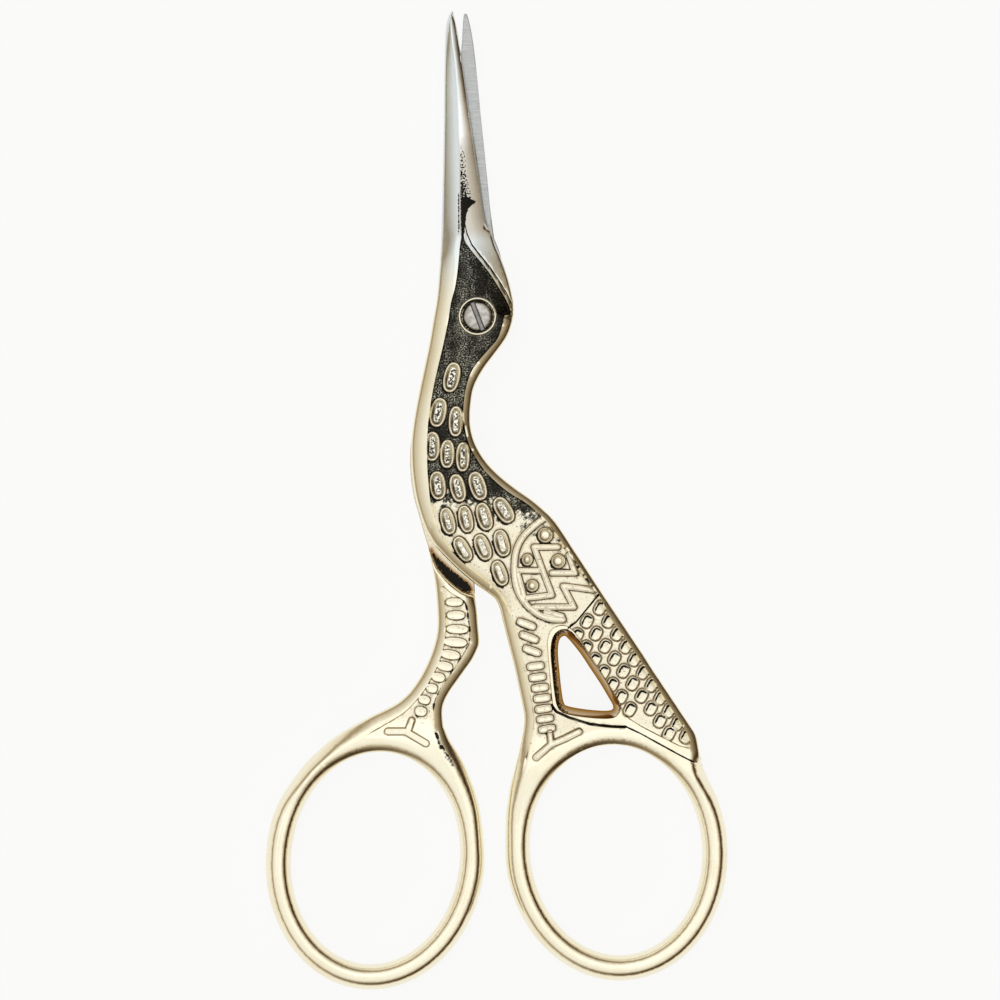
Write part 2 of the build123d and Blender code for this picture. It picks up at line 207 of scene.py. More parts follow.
# Ornaments. Ovals and bars: centre, width, length, tilt in degrees. The rest: the line along their middle
FEATHERS = [
    (452, 377.5, 17, 31, 13), (438.5, 412.5, 17, 30, 12), (456, 421.5, 15, 31, 2),
    (432.5, 446.5, 16, 30, 2), (447.5, 454, 15, 29, 2), (463, 457, 14.5, 30, 1),
    (438, 485.5, 17, 29, -6), (458, 488, 16, 29, -13), (478, 486, 17, 30, -18),
    (448, 521, 15, 28, -14), (466, 519, 15, 28, -12), (484.5, 516.5, 16, 29, -16),
    (504, 510, 17, 29, -32), (463, 549, 15, 28, -30), (483, 547, 16, 28, -22), (502, 543, 16, 28, -14),
    (500, 573, 15, 27, -20),
]
BACK_FEATHERS = [FEATHERS[number] for number in (0, 1, 3, 4, 6, 9)]
WING_DISCS = [
    (545.5, 535, 16, 16, 0), (527.5, 559.5, 12, 13, 0), (558.5, 561, 15, 15, 0),
    (532.5, 585.5, 13, 13, 0),
]
WING_ARC = [
    (546, 517), (534, 526), (523, 537), (516.5, 550), (514.5, 565), (515.5, 582), (520, 595),
    (528, 606), (540, 615), (552, 619), (563, 619.5),
]
WING_LINES = [
    [(558, 547), (534, 547), (552, 595), (527, 598)],
    [(518, 570.5), (542, 570.5)],
    [(518, 574), (524, 597)],
    [(569, 555), (575, 573), (552, 573)],
    [(594, 590), (563, 586), (574, 607), (535, 607)],
    [(546, 612), (562, 616)],
]
WING_WIDTH = 6.6
# Rows of the tail's scales: first centre, last centre and number
TAIL_ROWS = [((600, 608), (686, 736), 11), ((587, 621), (669, 733), 10), ((577, 635), (630, 709), 7)]
OVAL_POWER = 2.4
BAR_POWER = 3.4
SCALE_SIZE = (12, 15)
SCALE_TURN = 28
SCALE_CORNER = 0.42
RIGHT_BARS = [
    (526.5, 624, 21, 8.5, 21), (529, 637, 21, 8.5, 21), (532, 650.5, 20, 8.5, 20),
    (535.5, 666, 18, 8.5, -7), (537.5, 677, 18, 8.5, -7), (540, 687.5, 18, 8.5, -7),
    (542, 698, 18, 8.5, -7), (543.5, 708.5, 18, 8.5, -8), (545, 718.5, 18, 8, -8),
    (547, 728.5, 18, 8, -10),
]
LEFT_BARS = [
    (454.5, 602, 18, 9, 0), (456, 615, 19, 9.5, 0), (457.5, 629, 23, 9.5, 2), (455.5, 642, 24, 10, 5),
    (450.5, 654.5, 20, 10, 9), (445, 666, 16.5, 10, 12), (438.5, 677, 14, 10, 12),
    (432, 688, 12, 10, 12), (424.5, 699.5, 12.5, 9.5, 14), (421, 711, 12.5, 10.5, 8),
]
RIGHT_FOOT = [[(536, 757), (551, 744), (565, 738), (579, 731)], [(551, 744), (550, 733)]]
LEFT_FOOT = [[(388, 731), (406, 731), (426, 743)], [(408, 731), (412, 720)]]
FOOT_WIDTH = 6.5

# The tail window's sloping wall: its width in points and how deep it goes in mm
WINDOW_WALL = 7.6
WINDOW_DROP = 1.45

# The screw's recess in the front half: its wall's foot and top and the raised lip round it, in points,
# then the lip's heights and the floor's, in mm
RECESS = (16.3, 16.9)
LIP_RADII = (16.9, 17.4, 17.9, 18.4, 18.9, 19.3)
LIP_HEIGHTS = (0.09, 0.13, 0.14, 0.13, 0.08, 0)
RECESS_FLOOR = 0.8

# The pivot screw and its holes, in mm, and the slot's turn in degrees
FRONT_BORE = 0.99
BACK_BORE = 0.87
SCREW_RADIUS = 1.41
SHANK_RADIUS = 0.95
THREAD_RADIUS = 0.85
SEAT = 2.63
HEAD_HEIGHT = 0.78
SLOT_FLOOR = 0.4
THREAD_END = 0.02
DOME = 0.17
SLOT_WIDTH = 0.45
SLOT_TURN = 21

# The camera's height above the scissors in metres, and its sensor
CAMERA_HEIGHT = 0.6
SENSOR_MM = 36

# The room: the side that it darkens towards, and its colour from the horizon to overhead on both sides
DARK_SIDE = (0.94, -0.34, 0.0)
LIGHT_SKY = [
    (0.0, (0.95, 0.9, 0.83)), (0.25, (0.84, 0.79, 0.7)), (0.36, (0.42, 0.345, 0.245)),
    (0.47, (0.36, 0.285, 0.19)), (0.6, (0.7, 0.65, 0.56)), (0.75, (0.96, 0.95, 0.94)),
    (1.0, (1.0, 1.0, 1.0)),
]
DARK_SKY = [
    (0.0, (0.85, 0.76, 0.65)), (0.1, (0.55, 0.45, 0.33)), (0.2, (0.2, 0.13, 0.07)),
    (0.32, (0.03, 0.02, 0.012)), (0.45, (0.05, 0.034, 0.02)), (0.57, (0.24, 0.18, 0.11)),
    (0.7, (0.56, 0.49, 0.39)), (0.83, (0.86, 0.84, 0.79)), (0.94, (0.98, 0.98, 0.98)),
    (1.0, (1.0, 1.0, 1.0)),
]

# Dark grooves in the front half: points, half width in points, depth in mm
RIDGE_LINES = [
    ([(552, 705), (556, 711), (570, 717.5), (590, 723.5), (612, 726), (626, 726.5)], 1.7, 0.18),
    ([(624, 725.5), (640, 733), (660, 744), (680, 755), (694, 762)], 1.2, 0.09),
    ([(599, 594), (576, 622), (568, 628)], 1.1, 0.12),
    ([(464.5, 222), (467, 234), (472, 245), (481, 256.5), (490.5, 268), (498.5, 280), (506.5, 293),
      (511.5, 303)], 0.9, 0.05),
]

# The front blade's patch of painted dark reflection, a line of painted shade down the left leg, and the
# pocket under the breast, painted near black as shade
REFLECTION_PATCH = ((457.5, 140), (477, 241))
LEG_SHADE_LINE = [(436, 733), (440, 744), (446.5, 755), (453, 765)]
POCKET = [
    (431, 549), (436, 556), (450, 569), (460, 577), (468, 583), (472, 590), (466, 592), (455, 585),
    (446, 577), (438.5, 567.5), (433, 557),
]

# The side on which a feather's shadow falls, in points across and down
FEATHER_SHADOW = (-1.5, 2.1)

# The groove inside a raised ring, painted dark as shade: distance inwards and half width, in mm
FEATHER_RING = (0.33, 0.13)
DISC_RING = (0.26, 0.1)

# Profiles of the relief: distance inwards from its edge (mm), height above the ground (mm)
FEATHER_PROFILE = [
    (-0.06, 0), (-0.02, 0.06), (0.03, 0.14), (0.1, 0.2), (0.17, 0.215), (0.24, 0.17), (0.3, 0.09),
    (0.35, 0.05), (0.41, 0.08), (0.48, 0.15), (0.56, 0.18), (0.7, 0.19),
]
DISC_PROFILE = [
    (-0.04, 0), (0.0, 0.1), (0.05, 0.18), (0.11, 0.2), (0.17, 0.15), (0.23, 0.07), (0.28, 0.06),
    (0.34, 0.12), (0.42, 0.17), (0.55, 0.19),
]
BAND_PROFILE = [(-0.04, 0), (0.0, 0.1), (0.035, 0.18), (0.08, 0.22), (0.15, 0.232), (0.31, 0.238)]
SCALE_PROFILE = [
    (-0.1, 0), (-0.05, -0.04), (0.0, -0.06), (0.05, -0.02), (0.11, 0.035), (0.18, 0.04), (0.28, 0.02),
    (0.42, 0.0), (0.6, -0.005),
]
BAR_PROFILE = [
    (-0.04, 0), (0.0, 0.1), (0.04, 0.17), (0.09, 0.2), (0.15, 0.195), (0.22, 0.165), (0.35, 0.16),
]
FOOT_PROFILE = [
    (-0.1, 0), (-0.06, -0.04), (0.0, 0.05), (0.06, 0.15), (0.13, 0.2), (0.2, 0.18), (0.28, 0.16),
]


def curve(points, step):
    """Samples of a smooth curve through the points."""
    points = np.array(points, float)
    ends = np.vstack([2 * points[0] - points[1], points, 2 * points[-1] - points[-2]])
    out = []
    for i in range(len(points) - 1):
        a, b, c, d = ends[i:i + 4]
        count = max(1, math.ceil(np.linalg.norm(c - b) / step))
        t = (np.arange(count) / count)[:, None]
        square = (2 * a - 5 * b + 4 * c - d) * t**2
        cube = (3 * b - a - 3 * c + d) * t**3
        out.append(0.5 * (2 * b + (c - a) * t + square + cube))
    out.append(points[-1:])
    return np.vstack(out)


def straight(points, step):
    """Samples along straight lines between the points."""
    points = np.array(points, float)
    out = []
    for b, c in zip(points[:-1], points[1:]):
        count = max(1, math.ceil(np.linalg.norm(c - b) / step))
        out.append(b + (c - b) * (np.arange(count) / count)[:, None])
    out.append(points[-1:])
    return np.vstack(out)


def nearest_to(points, spot):
    """Number of the point that lies nearest to a spot."""
    return int(np.argmin(np.linalg.norm(points - np.array(spot), axis=1)))


def ring_of(points, step, smooth=True):
    """A closed loop of samples."""
    closed = list(points) + [points[0]]
    if not smooth:
        return straight(closed, step)[:-1]
    ends = [points[-1]] + closed + [points[1]]
    samples = curve(ends, step)
    lap = samples[nearest_to(samples, points[0]):]
    # The first samples are still near the start and don't end the lap.
    lead = 5
    return lap[:lead + nearest_to(lap[lead:], points[0])]


def pair(value):
    """A value for both ends of a run."""
    return value if isinstance(value, tuple) else (value, value)


def bow_run(bow, first, last):
    """The outer edge of a bow's wire, clockwise from near the first point to near the last."""
    outer = bow_loops(bow, OUTLINE_SAMPLES)[0]
    start = nearest_to(outer, first)
    end = nearest_to(outer, last)
    if end < start:
        end += len(outer)
    return np.array([outer[i % len(outer)] for i in range(start, end + 1)])


def outline_of(runs, bow):
    """A half's whole outline: its drawn runs, joined by the outer edge of its bow."""
    full = []
    joints = []
    for run in runs:
        if run[0] == "bow":
            line = bow_run(bow, run[1], run[2])
            joints += [line[0], line[-1]]
            full.append((line, WIRE_WIDTH / 2, WIRE_HEIGHT / 2))
        else:
            full.append(run)
    rough = Loop.of_runs(full, STEP)
    points = rough.points
    away = np.min([np.linalg.norm(points - joint, axis=1) for joint in joints], axis=0)
    # The samples near a joint are averaged with their neighbours until the joint doesn't show.
    loose = smoothstep(*JOINT_REACH, away)[:, None]
    for _ in range(JOINT_ROUNDS):
        around_each = np.roll(points, 1, axis=0) + np.roll(points, -1, axis=0)
        points = points * (1 - loose) + loose * around_each / 2
    return Loop(points, rough.width, rough.depth)


class Loop:
    """A closed outline with a rounding width and depth at each sample."""

    def __init__(self, points, width=0.0, depth=0.0):
        self.points = np.array(points, float)
        count = len(self.points)
        self.width = np.broadcast_to(np.array(width, float), count).copy()
        self.depth = np.broadcast_to(np.array(depth, float), count).copy()
        after = np.roll(self.points, -1, axis=0)
        before = np.roll(self.points, 1, axis=0)
        run = after - before
        run /= np.maximum(np.linalg.norm(run, axis=1), 1e-9)[:, None]
        area = np.sum(self.points[:, 0] * after[:, 1] - after[:, 0] * self.points[:, 1])
        self.inward = np.stack([-run[:, 1], run[:, 0]], axis=1) * (1 if area > 0 else -1)

    @classmethod
    def of_runs(cls, runs, step):
        points, width, depth = [], [], []
        for run, run_width, run_depth in runs:
            samples = curve(run, step)[:-1]
            points.append(samples)
            width.extend(np.linspace(*pair(run_width), len(samples)))
            depth.extend(np.linspace(*pair(run_depth), len(samples)))
        loop = cls(np.vstack(points), width, depth)
        for _ in range(10):
            for values in (loop.width, loop.depth):
                values[:] = (np.roll(values, 1) + values + np.roll(values, -1)) / 3
        return loop

    def measure(self, spots):
        """Signed distance (inside positive), and the rounding at the nearest place."""
        a = self.points
        b = np.roll(a, -1, axis=0)
        run = b - a
        square = np.maximum(np.sum(run * run, axis=1), 1e-12)
        distance = np.empty(len(spots))
        nearest = np.empty(len(spots), int)
        inside = np.empty(len(spots), bool)
        batch = 3000
        for start in range(0, len(spots), batch):
            here = slice(start, start + batch)
            part = spots[here]
            dx = part[:, 0:1] - a[:, 0]
            dy = part[:, 1:2] - a[:, 1]
            t = np.clip((dx * run[:, 0] + dy * run[:, 1]) / square, 0, 1)
            away = (dx - t * run[:, 0]) ** 2 + (dy - t * run[:, 1]) ** 2
            best = np.argmin(away, axis=1)
            distance[here] = np.sqrt(away[np.arange(len(part)), best])
            nearest[here] = best
            crosses = (a[:, 1] > part[:, 1:2]) != (b[:, 1] > part[:, 1:2])
            slope = run[:, 0] / np.where(np.abs(run[:, 1]) < 1e-12, 1e-12, run[:, 1])
            at = a[:, 0] + slope * (part[:, 1:2] - a[:, 1])
            inside[here] = np.sum(crosses & (part[:, 0:1] < at), axis=1) % 2 == 1
        return np.where(inside, distance, -distance), self.width[nearest], self.depth[nearest]

    def offsets(self, distances):
        """Lines inside the outline at the given distances, broken where they would cross."""
        lines = []
        for distance in distances:
            reach = np.broadcast_to(distance, len(self.points))
            line = self.points + self.inward * reach[:, None]
            keep = self.measure(line)[0] > 0.93 * reach
            lines.append((line, keep))
        return lines


def swing(place, u, v, tilt):
    """A place plus an offset that is turned by a tilt in degrees."""
    turn = math.radians(tilt)
    x = place[0] + u * math.cos(turn) - v * math.sin(turn)
    y = place[1] + u * math.sin(turn) + v * math.cos(turn)
    return x, y


def ellipse(centre_x, centre_y, half_width, half_length, tilt, count, power=2.0):
    """An oval loop, squarer with a higher power. A positive tilt leans its top to the right."""
    angle = np.arange(count) / count * 2 * math.pi
    u = half_width * np.sign(np.cos(angle)) * np.abs(np.cos(angle)) ** (2 / power)
    v = half_length * np.sign(np.sin(angle)) * np.abs(np.sin(angle)) ** (2 / power)
    return np.stack(swing((centre_x, centre_y), u, v, tilt), axis=1)


def circle(radius, count):
    """A round loop about the pivot. The radius is in picture points."""
    return ellipse(*PIVOT_PX, radius, radius, 0, count)


def bow_loops(bow, count):
    """Outer edge, centre line and hole of a bow's wire."""
    x, y, half_width, half_length, tilt = bow
    loops = []
    middle = Loop(ellipse(x, y, half_width + WIRE_WIDTH / 2, half_length + WIRE_WIDTH / 2, tilt, count))
    for share in (-1, 0, 1):
        loops.append(middle.points + middle.inward * share * WIRE_WIDTH / 2)
    return loops


def smoothstep(low, high, value):
    """0 at low and 1 at high, with a soft start and end."""
    t = np.clip((value - low) / (high - low), 0, 1)
    return t * t * (3 - 2 * t)


def soft_max(a, b, reach):
    """The larger value, with a soft change from one to the other."""
    share = np.clip(0.5 + 0.5 * (a - b) / reach, 0, 1)
    return b * (1 - share) + a * share + reach * share * (1 - share)


def rounding(distance, width, depth):
    """How far the surface drops towards an edge, as a quarter of an oval."""
    share = np.clip(distance / np.maximum(width, 1e-6), 0, 1)
    return depth * (1 - np.sqrt(np.clip(1 - (1 - share) ** 2, 0, 1)))


def slope_off(distance, width, depth):
    """A drop towards an edge that steepens evenly, as a filed round-over."""
    share = np.clip(distance / np.maximum(width, 1e-6), 0, 1)
    return depth * (1 - share) ** 1.45


def local(spots, x, y, tilt):
    """Places in the turned frame of an ornament."""
    turn = math.radians(tilt)
    dx = spots[:, 0] - x
    dy = spots[:, 1] - y
    return dx * math.cos(turn) + dy * math.sin(turn), -dx * math.sin(turn) + dy * math.cos(turn)


def oval_depth(spots, oval, power):
    """Distance inwards from an oval's edge, in mm."""
    x, y, width, length, tilt = oval
    u, v = local(spots, x, y, tilt)
    a, b = width / 2, length / 2
    u = np.abs(u) + 1e-6
    v = np.abs(v) + 1e-6
    reach = ((u / a) ** power + (v / b) ** power) ** (1 / power)
    slope = np.hypot((u / a) ** (power - 1) / a, (v / b) ** (power - 1) / b) / reach ** (power - 1)
    return (1 - reach) / slope * PX_MM


def scale_depth(spots, place, size):
    """Distance inwards from the edge of a square with round corners, in mm."""
    u, v = local(spots, place[0], place[1], SCALE_TURN)
    corner = SCALE_CORNER * min(size)
    du = np.abs(u) - size[0] / 2 + corner
    dv = np.abs(v) - size[1] / 2 + corner
    outside = np.hypot(np.maximum(du, 0), np.maximum(dv, 0))
    return (corner - outside - np.minimum(np.maximum(du, dv), 0)) * PX_MM


def line_distance(spots, line):
    """Distance from a line through the given points."""
    best = np.full(len(spots), 1e9)
    for a, b in zip(line[:-1], line[1:]):
        run = b - a
        t = np.clip(((spots - a) @ run) / max(run @ run, 1e-12), 0, 1)
        best = np.minimum(best, np.linalg.norm(spots - a - t[:, None] * run, axis=1))
    return best


def band_depth(spots, line, width):
    """Distance inwards from the edge of a band along a line, in mm."""
    return (width / 2 - line_distance(spots, line)) * PX_MM


def scale_places():
    """Centres of the tail's scales, evenly along each row."""
    places = []
    for first, last, count in TAIL_ROWS:
        for step in range(count):
            share = step / (count - 1)
            places.append(tuple(a + share * (b - a) for a, b in zip(first, last)))
    return places


def profile(depth, table):
    """Height above the ground, from the distance inwards."""
    return np.interp(depth, column(table, 0), column(table, 1), left=0)


class Relief:
    """Raised ornaments: their height above the ground, and the lines that their meshes follow."""

    def __init__(self):
        self.parts = []
        self.lines = []

    def ovals(self, ovals, table, power):
        for oval in ovals:
            self.parts.append((lambda spots, oval=oval: oval_depth(spots, oval, power), table))
            x, y, width, length, tilt = oval
            for depth in column(table, 0):
                inset = depth / PX_MM
                if min(width, length) / 2 - inset > 1:
                    count = max(16, int((width + length) * 1.1))
                    line = ellipse(x, y, width / 2 - inset, length / 2 - inset, tilt, count, power)
                    self.lines.append(line)

    def bands(self, lines, width, table):
        for line in lines:
            self.parts.append((lambda spots, line=line: band_depth(spots, line, width), table))
            for depth in column(table, 0):
                inset = width / 2 - depth / PX_MM
                if inset > 0.3:
                    self.lines.append(around(line, inset))

    def scales(self, places, size, table):
        for place in places:
            self.parts.append((lambda spots, place=place: scale_depth(spots, place, size), table))
            for depth in column(table, 0):
                inset = depth / PX_MM
                if min(size) / 2 - inset > 1.2:
                    self.lines.append(rounded_square(place, size, inset))

    def height(self, spots):
        total = np.zeros(len(spots))
        for depth_of, table in self.parts:
            there = profile(depth_of(spots), table)
            total = np.where(np.abs(there) > np.abs(total), there, total)
        return total

    def inside(self, spots):
        """True within any ornament."""
        found = np.zeros(len(spots), bool)
        for depth_of, _ in self.parts:
            found |= depth_of(spots) > 0
        return found

    def line_shade(self, spots, depth=-0.01):
        """Painted shade: near 1 along a line so many mm inside the ornaments' edge, but not where they run
        together.
        """
        deepest = np.full(len(spots), -1e3)
        for depth_of, _ in self.parts:
            deepest = np.maximum(deepest, depth_of(spots))
        return np.clip(1 - np.abs(deepest - depth) / 0.09, 0, 1)

    def beside(self, spots, shift):
        """Near 1 just outside the ornaments, on the side that the shift moves them to."""
        outside = ~self.inside(spots)
        total = np.zeros(len(spots))
        for share in (0.35, 0.7, 1.0):
            total += self.inside(spots - np.array(shift) * share) / 3
        return total * outside


def around(line, inset):
    """The loop round a line at a distance, with round ends and corners."""
    line = np.array(line, float)
    run = line[1:] - line[:-1]
    run /= np.maximum(np.linalg.norm(run, axis=1), 1e-9)[:, None]
    loop = []
    for heading, points in ((run, line), (-run[::-1], line[::-1])):
        normal = np.stack([-heading[:, 1], heading[:, 0]], axis=1)
        loop.append(points[0] + normal[0] * inset)
        for i in range(1, len(points) - 1):
            before, after = normal[i - 1], normal[i]
            turn = heading[i - 1][0] * heading[i][1] - heading[i - 1][1] * heading[i][0]
            bend = math.acos(max(-1.0, min(1.0, float(before @ after))))
            if turn > 0 or bend < 0.3:
                loop.append(points[i] + inset * (before + after) / (1 + max(before @ after, -0.8)))
                continue
            steps = max(2, math.ceil(bend / 0.5))
            for step in range(steps + 1):
                angle = -bend * step / steps
                spun = (
                    before[0] * math.cos(angle) - before[1] * math.sin(angle),
                    before[0] * math.sin(angle) + before[1] * math.cos(angle),
                )
                loop.append(points[i] + inset * np.array(spun))
        loop.append(points[-1] + normal[-1] * inset)
        for degrees in (60, 30, 0, -30, -60):
            a = math.radians(degrees)
            loop.append(points[-1] + inset * (math.sin(a) * normal[-1] + math.cos(a) * heading[-1]))
    return np.array(loop)


def rounded_square(place, size, inset):
    """The edge of a tail scale, moved inwards."""
    half = np.array(size) / 2 - inset
    corner = max(SCALE_CORNER * min(size) - inset, 0.3)
    out = []
    for sx, sy, start in ((1, 1, 0), (-1, 1, 90), (-1, -1, 180), (1, -1, 270)):
        for angle in (0, 30, 60, 90):
            a = math.radians(start + angle)
            u = sx * (half[0] - corner) + corner * math.cos(a)
            v = sy * (half[1] - corner) + corner * math.sin(a)
            out.append(swing(place, u, v, SCALE_TURN))
    return np.array(out)


class Plan:
    """The points and lines that a half's mesh is drawn on, seen from above."""

    def __init__(self):
        self.points = []
        self.edges = []
        self.faces = []
        self.count = 0

    def add(self, points, keep=None, closed=True, face=False):
        points = np.asarray(points, float)
        first = self.count
        self.points.append(points)
        self.count += len(points)
        size = len(points)
        keep = np.ones(size, bool) if keep is None else keep
        for i in range(size if closed else size - 1):
            j = (i + 1) % size
            if keep[i] and keep[j]:
                self.edges.append((first + i, first + j))
        if face:
            self.faces.append(list(range(first, first + size)))
        return len(self.faces) - 1

    def fill(self, low, high, step, crowd):
        """Adds an even field of points where no line passes."""
        tree = KDTree(self.count)
        known = np.vstack(self.points)
        for i, (x, y) in enumerate(known):
            tree.insert((x, y, 0), i)
        tree.balance()
        rows = np.arange(low[1], high[1], step * math.sqrt(3) / 2)
        found = []
        for number, y in enumerate(rows):
            for x in np.arange(low[0] + (number % 2) * step / 2, high[0], step):
                if tree.find((x, y, 0))[2] > crowd:
                    found.append((x, y))
        self.points.append(np.array(found))
        self.count += len(found)

    def triangles(self, solid_faces, hole_faces):
        spots = [Vector(p) for p in np.vstack(self.points)]
        every_triangle = 0
        merge_within = 0.02
        result = delaunay_2d_cdt(spots, self.edges, self.faces, every_triangle, merge_within)
        vertices = np.array([tuple(v) for v in result[0]])
        kept = []
        for triangle, sources in zip(result[2], result[5]):
            sources = set(sources)
            if sources & solid_faces and not sources & hole_faces:
                kept.append(tuple(triangle))
        kept = np.array(kept)
        used = np.unique(kept)
        renumber = np.full(len(vertices), -1)
        renumber[used] = np.arange(len(used))
        return vertices[used], renumber[kept]


def to_metres(spots, height_mm):
    """Picture points and heights as places in the shared frame."""
    x = (spots[:, 0] - PIVOT_PX[0]) * PX_MM * MM
    y = (PIVOT_PX[1] - spots[:, 1]) * PX_MM * MM
    return np.stack([x, y, height_mm * MM], axis=1)


def build(name, spots, triangles, top, bottom, notes):
    """A closed mesh from one plan with an upper and a lower height. notes are values per point and side."""
    count = len(spots)
    directed = {}
    for a, b, c in triangles:
        for edge in ((a, b), (b, c), (c, a)):
            directed[edge] = True
    rim = [edge for edge in directed if (edge[1], edge[0]) not in directed]
    vertices = np.vstack([to_metres(spots, top), to_metres(spots, bottom)])
    # The plan's y axis points down, so its triangles face down once they are in the frame.
    faces = [(c, b, a) for a, b, c in triangles]
    faces += [(a + count, b + count, c + count) for a, b, c in triangles]
    for a, b in rim:
        faces.append((a, b, b + count, a + count))
    mesh = bpy.data.meshes.new(name)
    mesh.from_pydata(vertices.tolist(), [], [tuple(int(i) for i in face) for face in faces])
    for note, (upper, lower) in notes.items():
        layer = mesh.attributes.new(note, "FLOAT", "POINT")
        layer.data.foreach_set("value", np.concatenate([upper, lower]).astype(np.float32))
    piece = bpy.data.objects.new(name, mesh)
    bpy.context.scene.collection.objects.link(piece)
    tidy_mesh(mesh)
    return piece


def tidy_mesh(mesh):
    """Welds seams, thins the plain flat faces and turns the normals outwards."""
    work = bmesh.new()
    work.from_mesh(mesh)
    bmesh.ops.remove_doubles(work, verts=work.verts, dist=2e-7)
    bmesh.ops.dissolve_limit(
        work,
        angle_limit=math.radians(0.05),
        verts=[v for v in work.verts if all(lapped(f) for f in v.link_faces)],
        edges=[e for e in work.edges if len(e.link_faces) == 2 and all(lapped(f) for f in e.link_faces)],
    )
    bmesh.ops.triangulate(work, faces=[f for f in work.faces if len(f.verts) > 4])
    bmesh.ops.recalc_face_normals(work, faces=work.faces)
    work.to_mesh(mesh)
    work.free()
    mesh.shade_smooth()
    mesh.set_sharp_from_angle(angle=math.radians(SHARP_FROM))


def lapped(face):
    """True on the plain flat faces where the two halves slide on each other, above the legs."""
    plain = face.calc_center_median().y > LAP_END
    height = face.verts[0].co.z
    down = face.normal.z < -0.99999 and abs(height - UPPER_BOTTOM * MM) < 1e-7
    up = face.normal.z > 0.99999 and abs(height - LOWER_TOP * MM) < 1e-7
    return (down or up) and plain


# How finely the plans are drawn, in points, and the shares of a rounding at which lines run
STEP = 2.2
FILL_STEP = 1.9
FILL_CROWD = FILL_STEP * 0.72
OUTLINE_SAMPLES = 260
WIRE_SAMPLES = 210
JOINT_REACH = (34, 12)
JOINT_ROUNDS = 60
ROUND_SHARES = (0.015, 0.07, 0.17, 0.32, 0.52, 0.76, 1.0)
WIRE_SHARES = (0.02, 0.08, 0.18, 0.34, 0.55, 0.78)


def add_wire(plan, bow):
    """Lines along a bow's wire, round its lower part. Returns the hole's face and its loop."""
    _, middle, hole = bow_loops(bow, WIRE_SAMPLES)
    gap = plan.add(hole, face=True)
    for share in WIRE_SHARES:
        plan.add(middle + (hole - middle) * (1 - share))
    plan.add(middle)
    return gap, Loop(hole)


def begin(runs, bow):
    """A half's plan with its outline, the lines along its rounded rim and its bow's wire."""
    plan = Plan()
    outline = outline_of(runs, bow)
    body = plan.add(outline.points, face=True)
    for line, keep in outline.offsets([outline.width * share for share in ROUND_SHARES]):
        below = line[:, 1] > BLADE_END
        plan.add(line[below], keep[below], closed=False)
    bow_hole, hole = add_wire(plan, bow)
    return plan, outline, body, bow_hole, hole


def plate_height(spots, outline, hole, bow_top):
    """Upper height of a half's rounded plate and of the wire that it runs into."""
    inside, width, depth = outline.measure(spots)
    past_hole = -hole.measure(spots)[0]
    wire = smoothstep(bow_top + 5, bow_top + 75, spots[:, 1])
    drops = []
    for distance, wide, plate_deep, wire_deep in (
        (np.maximum(inside, 0), width, depth, depth),
        (past_hole, 11 + 1.75 * wire, 0.5, 1.4),
    ):
        drop = slope_off(distance, wide, plate_deep) * (1 - wire)
        drop += rounding(distance, wide, wire_deep) * wire
        drop += rounding(distance, *BROKEN_EDGE) * (1 - wire)
        drops.append(drop)
    base = UPPER_TOP - (UPPER_TOP - MIDDLE - WIRE_HEIGHT / 2) * wire
    return base - soft_max(*drops, 0.1) + 0.02 * (1 - wire)


def blade_lines(table, down, *wanted):
    """A blade table's columns at the given rows of the picture."""
    return [np.interp(down, column(table, 0), column(table, i)) for i in wanted]


def blade_height(spots, table):
    """Thickness of a blade over each spot: a rounded back, then a hollow facet with a fine bevel."""
    spine, ridge, edge, thick = blade_lines(table, spots[:, 1], 1, 2, 3, 4)
    side = np.sign(edge - spine)
    from_spine = np.maximum((spots[:, 0] - spine) * side, 0)
    flat = np.maximum(np.abs(ridge - spine), 0.5)
    body = thick - slope_off(from_spine, 1.25 * flat, thick * 0.62) - rounding(from_spine, 1.2, 0.1)
    share = np.clip((spots[:, 0] - ridge) * side / np.maximum(np.abs(edge - ridge), 0.5), 0, 1)
    facet = thick * (1 - 0.42 * share**1.7)
    fine = EDGE_THICK + (thick * 0.66 - EDGE_THICK) * np.clip((1 - share) / BEVEL_SHARE, 0, 1)
    ends = smoothstep(238, 222, spots[:, 1])
    bevel = np.where(share > 1 - BEVEL_SHARE, thick + (fine - thick) * ends, thick)
    return np.where(share > 0, np.minimum(np.minimum(facet, bevel), body + 0.2 * thick * share), body)


def add_blade(plan, table):
    """Lines along a blade's ridge and between its spine, ridge and edge."""
    rows = np.arange(table[0][0] + 4, table[-1][0], 3.0)
    spine, ridge, edge = blade_lines(table, rows, 1, 2, 3)
    plan.add(np.stack([ridge, rows], axis=1), closed=False)
    for first, last, shares in (
        (spine, ridge, (0.04, 0.12, 0.25, 0.42, 0.62, 0.8)),
        (ridge, edge, (0.1, 0.25, 0.42, 0.6, 0.78, 0.88, 0.93)),
    ):
        for share in shares:
            plan.add(np.stack([first + (last - first) * share, rows], axis=1), closed=False)


def panel_loop(panel):
    """The edge of a sunk panel, from runs that are smooth or straight, or from one ring of points."""
    if isinstance(panel[0][0], list):
        runs = [(curve if smooth else straight)(points, STEP)[:-1] for points, smooth in panel]
        return Loop(np.vstack(runs))
    return Loop(ring_of(panel, STEP))


def add_inside(plan, loop, distances):
    """A loop and the lines that run inside it at the given distances."""
    plan.add(loop.points)
    for line, keep in loop.offsets(distances):
        plan.add(line, keep)


def front_relief(feathers, wing):
    """All that stands on the front half's ground: feathers, wing and the tail's scales."""
    relief = Relief()
    for part in (feathers, wing):
        relief.parts += part.parts
        relief.lines += part.lines
    relief.scales(scale_places(), SCALE_SIZE, SCALE_PROFILE)
    return relief


